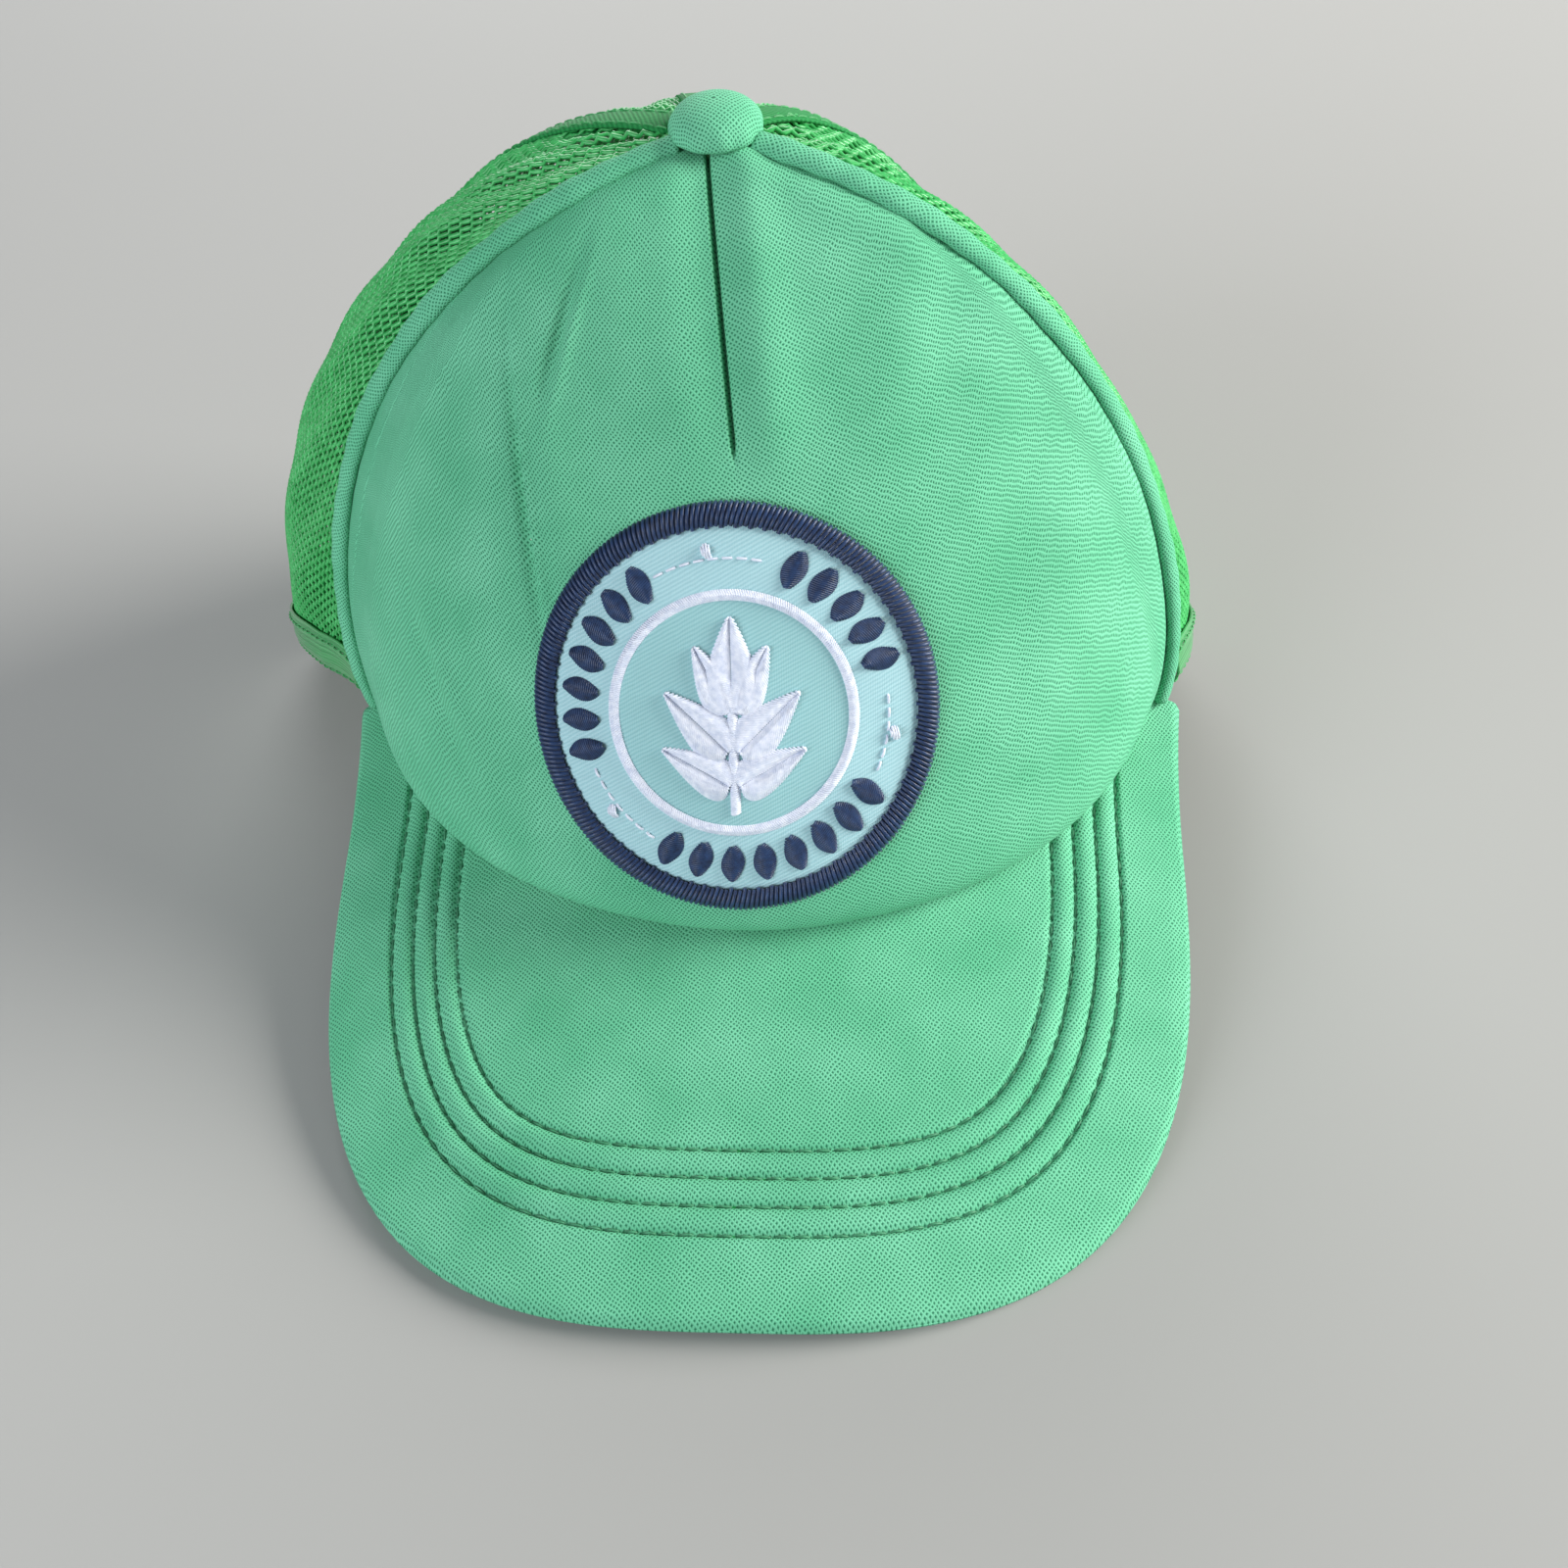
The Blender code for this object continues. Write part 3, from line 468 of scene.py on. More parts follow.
# A grid of points becomes a smooth quad surface with a "cloth" UV map in metres.
def gridMesh(name, points, cloth, material, wrap=False):
    rows, columns = points.shape[:2]
    index = np.arange(rows * columns).reshape(rows, columns)
    right = np.roll(index, -1, 1) if wrap else index[:, 1:]
    left = index if wrap else index[:, :-1]
    faces = np.stack([left[:-1], right[:-1], right[1:], left[1:]], -1).reshape(-1, 4)
    mesh = bpy.data.meshes.new(name)
    mesh.from_pydata((points + place).reshape(-1, 3).tolist(), [], faces.tolist())
    layer = mesh.uv_layers.new(name="cloth")
    flat = cloth.reshape(-1, 2)[faces]
    if wrap:
        span = flat[:, :, 0].max(axis=1) - flat[:, :, 0].min(axis=1)
        turnLength = cloth[..., 0].max() * columns / (columns - 1)
        wrapped = span > turnLength / 2
        low = flat[:, :, 0] < turnLength / 2
        flat[:, :, 0] = np.where(wrapped[:, None] & low, flat[:, :, 0] + turnLength, flat[:, :, 0])
    layer.data.foreach_set("uv", flat.reshape(-1).astype(np.float32))
    mesh.materials.append(material)
    mesh.shade_smooth()
    mesh.update()
    return mesh


# Evaluates the piece's modifiers into a plain mesh, so that nothing live is left on it.
def bake(piece):
    graph = bpy.context.evaluated_depsgraph_get()
    solid = bpy.data.meshes.new_from_object(piece.evaluated_get(graph), depsgraph=graph)
    piece.modifiers.clear()
    old = piece.data
    piece.data = solid
    solid.name = piece.name
    if old.users == 0:
        bpy.data.meshes.remove(old)
    return piece


def thicken(piece, thickness):
    wall = piece.modifiers.new("thickness", "SOLIDIFY")
    wall.thickness, wall.offset = thickness, -1
    return bake(piece)


# Welds a grid's own seam, fills its open ends, and turns its faces outward.
def seal(piece, isOpen=lambda edge: True, isInward=lambda faces: False):
    mesh = bmesh.new()
    mesh.from_mesh(piece.data)
    bmesh.ops.remove_doubles(mesh, verts=mesh.verts, dist=0.00001)
    ends = [edge for edge in mesh.edges if edge.is_boundary and isOpen(edge)]
    bmesh.ops.holes_fill(mesh, edges=ends, sides=0)
    bmesh.ops.recalc_face_normals(mesh, faces=mesh.faces)
    if isInward(mesh.faces):
        bmesh.ops.reverse_faces(mesh, faces=mesh.faces)
    mesh.to_mesh(piece.data)
    mesh.free()


# Everything but the two straps is sewn to the crown and rides it.
def finishPiece(piece, replaced=()):
    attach(piece, "crown")
    if replaced:
        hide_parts(*replaced)
    return piece


def clothPiece(name, points, cloth, material, thickness, replaced=()):
    piece = linkPiece(name, gridMesh(name, points, cloth, material))
    return finishPiece(thicken(piece, thickness), replaced)


# Every yarn, stitch and strand of embroidery is swept along its line by this one node tree.
def threadTree():
    tree = bpy.data.node_groups.new("sweepThread", "GeometryNodeTree")
    face = tree.interface
    face.new_socket("Lines", in_out="INPUT", socket_type="NodeSocketGeometry")
    for label, kind in (("Thread Radius", "Float"), ("Sides", "Int"), ("Material", "Material")):
        face.new_socket(label, in_out="INPUT", socket_type=f"NodeSocket{kind}")
    face.new_socket("Threads", in_out="OUTPUT", socket_type="NodeSocketGeometry")
    start = addNode(tree, "NodeGroupInput")
    lines = addNode(tree, "GeometryNodeMeshToCurve", {}, {0: start.outputs["Lines"]})
    ring = addNode(
        tree, "GeometryNodeCurvePrimitiveCircle", {},
        {"Resolution": start.outputs["Sides"], "Radius": start.outputs["Thread Radius"]},
    )
    swept = addNode(
        tree, "GeometryNodeCurveToMesh", {"Fill Caps": True},
        {"Curve": lines.outputs[0], "Profile Curve": ring.outputs[0]},
    )
    smooth = addNode(tree, "GeometryNodeSetShadeSmooth", {}, {0: swept.outputs[0]})
    real = addNode(tree, "GeometryNodeRealizeInstances", {}, {0: smooth.outputs[0]})
    dressed = addNode(
        tree, "GeometryNodeSetMaterial", {},
        {"Geometry": real.outputs[0], "Material": start.outputs["Material"]},
    )
    addNode(tree, "NodeGroupOutput", {}, {0: dressed.outputs[0]})
    return tree


sweepThread = threadTree()


def setInputs(modifier, values):
    for item in modifier.node_group.interface.items_tree:
        if item.item_type == "SOCKET" and item.in_out == "INPUT" and item.name in values:
            modifier[item.identifier] = values[item.name]


def threads(name, strands, radius, material, slotName, replaced=()):
    points, edges, count = [], [], 0
    for strand in strands:
        points.append(np.asarray(strand) + place)
        ends = np.arange(count, count + len(strand) - 1)
        edges.append(np.stack([ends, ends + 1], -1))
        count += len(strand)
    mesh = bpy.data.meshes.new(name)
    mesh.from_pydata(np.concatenate(points).tolist(), np.concatenate(edges).tolist(), [])
    piece = linkPiece(name, mesh)
    sweep = piece.modifiers.new("sweep", "NODES")
    sweep.node_group = sweepThread
    setInputs(sweep, {"Thread Radius": radius, "Sides": 5, "Material": material})
    bake(piece)
    piece.data.materials.clear()
    piece.data.materials.append(material)
    return finishPiece(piece, replaced)


# Running stitches along a line that lies on the cloth: each comes up, crosses and dives back.
def stitchRow(line, normals, pitch=0.0035, fill=0.72, rise=0.00035):
    steps = runningLength(line)
    number = max(int(steps[-1] / pitch), 1)
    share = steps[-1] / number
    lift = np.array([-0.6, 0.55, 1.0, 0.55, -0.6]) * rise
    strands = []
    for i in range(number):
        at = (i + 0.14) * share + np.array([0, 0.12, 0.5, 0.88, 1.0]) * fill * share
        base, out = (
            np.stack([np.interp(at, steps, values[:, k]) for k in range(3)], -1) for values in (line, normals)
        )
        strands.append(base + out * lift[:, None])
    return strands


# The turn of the seam between the front and the netting.
def frontSeam(climb):
    bow = crown["seamBow"] * 4 * climb * (1 - climb)
    return np.radians(crown["frontSeam"] + crown["seamTaper"] * climb + bow)


# A line moved sideways on the crown by this many metres.
def beside(turn, climb, distance):
    return turn + distance / crownFrame(turn, climb)[2]


piping = {"width": 0.0023, "height": 0.0015, "margin": 0.0004, "lift": 0.0002}
front = {
    "rows": 176, "columns": 251, "cover": 0.0008, "foam": 0.0027, "lining": 0.0018, "dartLining": 0.0012,
    "seamRoll": 0.0011, "seamRollWidth": 0.0019, "rimRoll": 0.0024,
}


# Places from -1 to 1, drawn together at the dart in the middle and at both seams.
def gathered(count):
    u = np.linspace(-1, 1, 2001)
    density = 1 + 2.4 * hump(u, 0.05) + 1.2 * (hump(u - 1, 0.08) + hump(u + 1, 0.08))
    total = np.cumsum(np.append(0, (density[1:] + density[:-1]) / 2))
    return np.interp(np.linspace(0, total[-1], count), total, u)


def makeFront():
    spreadOut = gathered(front["columns"])
    climb = np.linspace(0, 1, front["rows"])[:, None] ** 1.1 * (crown["top"] - 0.001) + 0.001
    edge = beside(frontSeam(climb), climb, -piping["margin"])
    shift = dartLine(np.interp(climb, frontClimbs, frontLengths)) / crownFrame(np.zeros_like(climb), climb)[2]
    shift = shift * smoothStep((climb - 0.35) / 0.2)
    turn = edge * spreadOut[None, :] + shift * (1 - np.abs(spreadOut))[None, :] ** 2
    climb = np.broadcast_to(climb, turn.shape)
    point, normal, perRadian = crownFrame(turn, climb)
    across = turn * perRadian
    up = np.interp(climb, frontClimbs, frontLengths)
    relief = frontRelief(across, up, climb)
    toSeam = (np.abs(edge) - np.abs(turn)) * perRadian
    relief = relief - front["seamRoll"] * np.exp(-toSeam / front["seamRollWidth"])
    relief = relief + 0.0005 * hump(toSeam - 0.006, 0.004) - front["rimRoll"] * np.exp(-up / front["rimRoll"])
    shape, cloth = point + normal * relief[..., None], np.stack([across, up], -1)
    cover = clothPiece("frontCover", shape, cloth, tricot, front["cover"], ["front_cover"])
    # The foam lies deeper under the dart's slit, and needs only a third of the cover's columns and rows.
    slit = hump((across - dartLine(up)) / 3, dart["creaseWidth"]) * (climb > dart["end"] - 0.03)
    slack = front["lining"] + front["dartLining"] * slit
    inner = (shape - normal * slack[..., None])[::3, ::3]
    padding = clothPiece("frontFoam", inner, cloth[::3, ::3], foam, front["foam"], ["front_foam"])


# The front panel's edge, rolled over the seam: a flattened tube of the same knit.
def makePiping(word, side):
    climb = np.linspace(0.004, crown["top"] - 0.012, 190)
    point, normal, across, lengths = seamFrame(side * frontSeam(climb), climb)
    turns = np.linspace(0, 2 * math.pi, 21)[None, :-1, None]
    swell = (1 + 0.05 * np.sin(lengths * 900) + 0.06 * np.sin(lengths * 210 + side))[:, None, None]
    shape = point[:, None] + across[:, None] * piping["width"] * swell * np.cos(turns)
    shape = shape + normal[:, None] * (piping["height"] * swell * np.sin(turns) + piping["lift"])
    cloth = np.stack(np.broadcast_arrays(turns[..., 0] * 0.0022, lengths[:, None]), -1)
    name = f"seamPiping{word}"
    piece = linkPiece(name, gridMesh(name, shape, cloth, tricot, wrap=True))
    seal(piece)
    finishPiece(piece, [f"seam_piping_{word.lower()}"])


net = {
    "pitch": 0.00145, "period": 0.0029, "swing": 0.00028, "radius": 0.00046, "margin": 0.0010,
    "halfSpan": 0.06, "inset": 0.0004, "weave": 0.00012,
}
seamBand = {"halfWidth": 0.0034, "depth": -0.0001, "thickness": 0.0006}
sideTape = {"halfWidth": 0.0055, "depth": 0.0013, "thickness": 0.0006}
frontTape = {"halfWidth": 0.0055, "depth": 0.0047, "thickness": 0.0006}


# How far up the crown the back opening reaches at this turn.
def openingClimb(turn):
    x, _ = rimPlan(turn)
    inside = np.clip(1 - (x / (crown["openingHalf"] + 0.0016)) ** 2, 0, 1)
    return np.where(np.cos(turn) > 0, 0, (crown["openingClimb"] + 0.01) * np.sqrt(inside))


# The back and sides are soft: between its seams a panel sinks a little and ripples.
def netRelief(turn, climb, near, far):
    share = np.clip((np.abs(turn) - near) / (far - near), 0, 1)
    sink = -0.0016 * np.sin(math.pi * share) * np.sin(math.pi * np.clip(climb, 0, 1))
    ripple = 0.0006 * np.sin(turn * 19 + climb * 9) * np.sin(climb * 23 + turn * 3)
    return sink + ripple


# Strands zigzag up the panel and meet their neighbours at every turn, which leaves six-sided holes.
# They are fewer and thicker than in a real knitted netting, so that the holes show.
def netPanel(name, side, near, far, replaced):
    middle = (near(0.4) + far(0.4)) / 2
    climbs, lengths = meridian(side * middle)
    heights = np.arange(0.0, lengths[-1], net["period"] / 6)
    keep = np.isin(np.arange(len(heights)) % 6, (0, 1, 3, 4))
    phase = (np.arange(len(heights)) % 6)[keep]
    heights = heights[keep]
    climb = np.interp(heights, lengths, climbs)
    perRadian = crownFrame(side * middle, climb)[2]
    swing = np.where(phase < 2, 1.0, -1.0) * net["swing"]
    nearEdge = beside(near(climb), climb, net["margin"])
    farEdge = beside(far(climb), climb, -net["margin"])
    strands = []
    count = int(net["halfSpan"] / net["pitch"])
    for i in range(-count, count + 1):
        x = i * net["pitch"] + swing * (1 if i % 2 else -1)
        turn = middle + x / perRadian
        inside = (turn > nearEdge) & (turn < farEdge) & (climb < crown["top"] + 0.004)
        inside &= climb > np.maximum(0.010, openingClimb(turn) + 0.004)
        cuts = np.flatnonzero(np.diff(np.concatenate([[0], inside.astype(int), [0]])))
        for start, stop in zip(cuts[::2], cuts[1::2]):
            if stop - start < 3:
                continue
            part = slice(start, stop)
            point, normal, _ = crownFrame(side * turn[part], climb[part])
            relief = netRelief(turn[part], climb[part], near(climb[part]), far(climb[part]))
            weave = net["weave"] * np.where(phase[part] % 3 == 0, 1, -1)
            strands.append(point + normal * (relief - net["inset"] + weave)[:, None])
    threads(name, strands, net["radius"], yarn, "green_mesh", replaced)


# A narrow band of cloth that follows a seam; it gives back two lines near its edges, for rows of stitches.
def band(name, turns, climbs, size, replaced=(), crest=0.0003):
    point, normal, across, lengths = seamFrame(turns, climbs)
    lift = lambda share: crest * (1 - share**2) - size["depth"]
    share = np.linspace(-1, 1, 9)[:, None]
    shape = point[:, None] + across[:, None] * (share * size["halfWidth"]) + normal[:, None] * lift(share)
    cloth = np.stack(np.broadcast_arrays(share[:, 0] * size["halfWidth"], lengths[:, None]), -1)
    clothPiece(name, shape, cloth, greenTwill, size["thickness"], replaced)
    return [
        (point + across * (edge * size["halfWidth"]) + normal * lift(edge), normal) for edge in (-0.72, 0.72)
    ]


def makeNetting():
    sideLine = lambda c: np.full_like(np.asarray(c, float), math.radians(crown["sideSeam"]))
    backLine = lambda c: np.full_like(np.asarray(c, float), math.pi)
    frontLine = lambda c: beside(frontSeam(np.asarray(c, float)), np.asarray(c, float), 0.0002)
    tapeTop = crown["top"] - 0.09
    sewn = []
    for word, side in (("Left", -1), ("Right", 1)):
        low = word.lower()
        netPanel(f"sideNet{word}", side, frontLine, sideLine, [f"side_mesh_{low}"])
        netPanel(f"backNet{word}", side, sideLine, backLine, [f"back_mesh_{low}"])
        climb = np.linspace(0.012, crown["top"], 90)
        sewn += band(f"sideSeam{word}", side * sideLine(climb), climb, seamBand)
        climb = np.linspace(0.12, tapeTop, 60)
        replaced = [f"side_seam_tape_{low}"]
        band(f"sideTape{word}", side * sideLine(climb), climb, sideTape, replaced)
        climb = np.linspace(0.27, tapeTop, 60)
        replaced = [f"front_seam_tape_{low}"]
        band(f"frontTape{word}", side * frontSeam(climb), climb, frontTape, replaced)
    climb = np.linspace(crown["openingClimb"] + 0.02, crown["top"], 70)
    sewn += band("backSeam", backLine(climb), climb, seamBand)
    climb = np.linspace(crown["openingClimb"] + 0.05, tapeTop, 50)
    band("backTape", backLine(climb), climb, sideTape, ["back_seam_tape"])
    strands = [strand for line, normal in sewn for strand in stitchRow(line, normal, 0.0028, rise=0.0001)]
    threads("netSeamStitches", strands, 0.00017, greenYarn, "green_mesh")


hem = {
    "height": 0.0125, "foot": 0.0008, "proud": 0.0007, "thickness": 0.0005, "bulge": 0.0007, "stitch": 0.0032,
}
sweatband = {"depth": 0.0059, "fold": 0.0011, "thickness": 0.0011, "height": 0.030, "ground": 0.0001}
binding = {"halfWidth": 0.0035, "halfThick": 0.0012, "outward": 0.0018, "inset": 0.0003, "roundness": 0.7}
rimRadius = 0.111


# A grid round the rim, at the given lengths up from it and sunk by depthAt(along, up).
def rimGrid(turns, lengths, depthAt):
    tables = [meridian(turn, 81) for turn in turns]
    climb = np.array([[np.interp(up, table[1], table[0]) for table in tables] for up in lengths])
    point, normal, _ = crownFrame(np.broadcast_to(turns, climb.shape), climb)
    along, up = runningLength(point[0])[None, :], np.asarray(lengths)[:, None]
    shape = point - normal * depthAt(along, up)[..., None]
    return shape, np.stack(np.broadcast_arrays(along, up), -1), normal


def openingTurn():
    return math.pi - math.asin(crown["openingHalf"] / (crown["halfWidth"] + crown["flare"]))


# The clear tape puffs between its two sewn lines, and wrinkles a little.
def hemDepth(along, up):
    share = (up - hem["foot"]) / hem["height"]
    bow = np.sin(math.pi * share)
    wrinkle = 0.00035 * np.sin(along * 160 + 3 * up / hem["height"])
    return -(hem["proud"] + hem["bulge"] * bow + wrinkle * bow + 0.00045 * hump(share - 0.36, 0.16))


def makeHem(word, side):
    near, far = math.radians(visor["corner"] + 1.5), openingTurn() - 0.002 / rimRadius
    turns = side * np.linspace(near, far, 150)
    turns = turns if side > 0 else turns[::-1]
    lengths = np.linspace(hem["foot"], hem["foot"] + hem["height"], 13)
    shape, cloth, normal = rimGrid(turns, lengths, hemDepth)
    replaced = [f"hem_tape_{word.lower()}"]
    clothPiece(f"hemTape{word}", shape, cloth, clearTape, hem["thickness"], replaced)
    return [strand for row in (2, 10) for strand in stitchRow(shape[row], normal[row], hem["stitch"])]


def sweatbandDepth(along, up):
    fold = sweatband["fold"] * hump(up - 0.0015, 0.002)
    return sweatband["depth"] - fold + 0.0003 * np.sin(along * 60) * np.sin(up * 105)


def makeSweatband():
    end = openingTurn() - 0.006 / rimRadius
    lengths = np.concatenate([np.linspace(0.0002, 0.004, 6), np.linspace(0.005, sweatband["height"], 14)])
    shape, cloth, normal = rimGrid(np.linspace(-end, end, 260), lengths, sweatbandDepth)
    shape[..., 2] = np.maximum(shape[..., 2], sweatband["ground"])
    thickness = sweatband["thickness"]
    piece = clothPiece("innerSweatband", shape, cloth, greenTwill, thickness, ["sweatband"])
    inner = shape - normal * thickness
    return [strand for row in (17, 5) for strand in stitchRow(inner[row], -normal[row], 0.0032)]


# The back opening's edge: tape folded over it, a flattened tube that follows the arch.
def makeBinding():
    share = np.linspace(0, 1, 60)
    reach = crown["openingHalf"] / (crown["halfWidth"] + crown["flare"])
    turn = math.pi - np.arcsin(reach * np.sin(share * math.pi / 2))
    climb = crown["openingClimb"] * np.cos(share * math.pi / 2)
    line = np.concatenate([(2 * math.pi - turn)[:0:-1], turn])
    climbs = np.maximum(np.concatenate([climb[:0:-1], climb]), 0.004)
    point, normal, across, lengths = seamFrame(line, climbs)
    squared = lambda wave: np.sign(wave) * np.abs(wave) ** binding["roundness"]
    turns = np.linspace(0, 2 * math.pi, 17)[None, :-1, None]
    wide = binding["halfWidth"] * squared(np.cos(turns)) + binding["outward"]
    high = binding["halfThick"] * squared(np.sin(turns)) - binding["inset"]
    shape = point[:, None] + across[:, None] * wide + normal[:, None] * high
    cloth = np.stack(np.broadcast_arrays(turns[..., 0] * 0.002, lengths[:, None]), -1)
    piece = linkPiece("openingBinding", gridMesh("openingBinding", shape, cloth, greenTwill, wrap=True))
    seal(piece)
    finishPiece(piece, ["opening_binding"])
    return stitchRow(point + across * 0.0032 + normal * 0.0009, normal, 0.003)


def distanceToEdge(x, y):
    edgeX, edgeY = visorOutline(np.linspace(0, 1, 500))
    best = np.full(x.shape, 1.0)
    for i in range(len(edgeX) - 1):
        start = np.array([edgeX[i], edgeY[i]])
        step = np.array([edgeX[i + 1], edgeY[i + 1]]) - start
        along = np.clip(((x - start[0]) * step[0] + (y - start[1]) * step[1]) / (step @ step), 0, 1)
        best = np.minimum(best, np.hypot(x - start[0] - along * step[0], y - start[1] - along * step[1]))
    return best


# Counts the rows of stitching inward from the edge: 0 on the outermost, 1 on the next, and so on.
def rowField(y, distance):
    front = smoothStep((-y - 0.055) / 0.070)
    inset = visor["sideInset"] + (visor["frontInset"] - visor["sideInset"]) * front
    return (distance - inset) / (visor["sideGap"] + (visor["frontGap"] - visor["sideGap"]) * front)


# The cover is quilted: each row of stitches pulls it down, and it puffs between the rows.
def visorRelief(x, y, distance, upper):
    field = rowField(y, distance)
    bearing = np.arctan2(-y - visor["widest"], x)
    pucker = 1 + 0.22 * np.sin(2 * math.pi * bearing * 0.085 / visor["stitch"])
    relief = 0.0002 * np.sin(x * 83 + 1) * np.sin(y * 67)
    for row in range(visor["rows"]):
        off = (field - row) * visor["frontGap"]
        if upper:
            relief = relief - visor["groove"] * pucker * hump(off, visor["grooveWidth"])
        else:
            relief = relief - 0.0004 * hump(off, 0.0009)
    if upper:
        between = (field > 0) & (field < visor["rows"] - 1)
        relief = relief + 0.0002 + visor["quilt"] * between * (0.5 - 0.5 * np.cos(2 * math.pi * field))
    return relief


def makeVisor():
    columns = visor["columns"]
    outer = np.stack(visorOutline(np.linspace(0.004, 0.996, columns)), -1)
    inner = np.stack(rimPlan(np.linspace(-1, 1, columns) * math.radians(visor["corner"] - 0.4)), -1)
    inner = inner * (1 - (visor["tuck"] - 0.0005) / np.linalg.norm(inner, axis=1, keepdims=True))
    inward = inner - outer
    span = np.linalg.norm(inward, axis=1)
    inward /= span[:, None]
    radius = visor["thick"] / 2
    roll = np.linspace(0, math.pi / 2, 8)[:, None]
    finePart = np.concatenate([np.linspace(0, 0.5, 132)[1:], np.linspace(0.5, 1, 51)[1:]])
    for word, upper in (("Top", True), ("Under", False)):
        steps = (finePart if upper else np.linspace(0, 1, 90)[1:])[:, None]
        depth = np.concatenate([radius * (1 - np.cos(roll)) + 0 * span, radius + (span - radius) * steps])
        lift = np.concatenate([radius * (np.sin(roll) - 1), 0 * steps])
        x, y = np.moveaxis(outer + inward * depth[..., None], -1, 0)
        distance = distanceToEdge(x, y)
        relief = visorRelief(x, y, distance, upper) * smoothStep(distance / 0.004)
        relief = relief - 0.00035 * hump(distance, 0.0006)
        if upper:
            z = np.maximum(visorHeight(x, y) + lift + relief, 0.0005)
        else:
            z = np.maximum(visorHeight(x, y) - visor["thick"] - lift - relief, 0.00012)
        shape, cloth = np.stack([x, y, z], -1), np.stack([x, y], -1)
        if upper:
            sewn, field = shape[8:], rowField(y, distance)[8:]
        else:
            shape, cloth = shape[::-1], cloth[::-1]
        replaced = [f"visor_{word.lower()}_cover"]
        piece = clothPiece(f"visor{word}", shape, cloth, tricot, visor["wall"], replaced)
    strands = []
    for row in range(visor["rows"]):
        line = []
        for j in np.flatnonzero((field.max(axis=0) > row) & (field.min(axis=0) < row)):
            k = int(np.argmax(field[:, j] > row))
            mix = (row - field[k - 1, j]) / (field[k, j] - field[k - 1, j])
            line.append(sewn[k - 1, j] * (1 - mix) + sewn[k, j] * mix)
        normals = np.tile([0.0, -0.12, 0.99], (len(line), 1))
        strands += stitchRow(np.array(line), normals, visor["stitch"], 0.78, 0.0004)
    threads("visorStitches", strands, 0.00024, shadedSeamYarn, "mint_tricot")


patch = {
    "radius": 0.038, "centre": 0.051, "borderWidth": 0.0044, "borderHeight": 0.0021, "loops": 252,
    "twillLift": 0.0013, "ringRadius": 0.0218, "ringWidth": 0.0018, "threadPitch": 0.00042, "thread": 0.00025,
    "bandInner": 0.0246, "bandOuter": 0.0322, "rings": 44, "ground": 0.0008, "overlock": 0.00042,
    "dashRadius": 0.0282, "dotRadius": 0.0296, "dotHalf": 0.0009,
    # side leaves of the sprig: foot, angle, length and width
    "leaves": ((-0.013, 28, 0.0150, 0.0040), (-0.0065, 42, 0.0165, 0.0044), (0.0015, 60, 0.0135, 0.0034)),
    # arcs in degrees of the plain leaf marks, with how many each holds, and of the dashes
    "marks": ((124, 194, 7), (20, 66, 5), (-116, -32, 8)),
    "dashes": ((202, 236), (337, 366), (78, 115)), "dots": (219, 352, 97),
}


# The patch bends one way round the front and keeps its disc shape: a and b are measured on the flat patch.
def patchPoint(a, b, lift):
    a, b, lift = np.broadcast_arrays(np.asarray(a, float), np.asarray(b, float), np.asarray(lift, float))
    radius = crown["halfWidth"]
    climb = np.interp(patch["centre"] + b, frontLengths, frontClimbs)
    level, normal, _ = crownFrame(np.zeros_like(climb), climb)
    uphill = np.cross(normal, np.array([1.0, 0, 0]))
    target = radius * np.sin(a / radius)
    turn = a / radius
    for _ in range(6):
        point, normal, perRadian = crownFrame(turn, climb)
        turn = turn + (target - point[..., 0]) / perRadian
        climb = climb - ((point - level) * uphill).sum(-1) / 0.16
    point, normal, _ = crownFrame(turn, climb)
    return point + normal * lift[..., None]


# Satin stitch: strands laid side by side across a shape, high in the middle and tucked in at its edges.
def satin(start, end, widthAt, slant=0.35, split=False, lift=0.0, rise=0.00075, pitch=None):
    start, end = np.array(start), np.array(end)
    axis = end - start
    length = np.linalg.norm(axis)
    axis /= length
    side = np.array([-axis[1], axis[0]])
    strands = []
    for t in np.arange(0.5 * patch["thread"], length, pitch or patch["threadPitch"]):
        half = widthAt(t / length)
        if half < 0.0004:
            continue
        spans = ((-half, -0.0001), (0.0001, half)) if split else ((-half, half),)
        for low, high in spans:
            across = np.linspace(low, high, 5)
            lean = slant * np.abs(across) if split else slant * across
            flat = start + axis * (t - lean[:, None]) + side * across[:, None]
            profile = np.array([0.0, 0.75, 1.0, 0.75, 0.0]) * rise
            strands.append(patchPoint(flat[:, 0], flat[:, 1], patch["twillLift"] + lift + profile))
    return strands


def leafWidth(width, peak=0.42):
    return lambda t: width * np.sin(math.pi * t ** (math.log(0.5) / math.log(peak))) ** 0.8


def polar(radius, degrees):
    return radius * math.cos(math.radians(degrees)), radius * math.sin(math.radians(degrees))


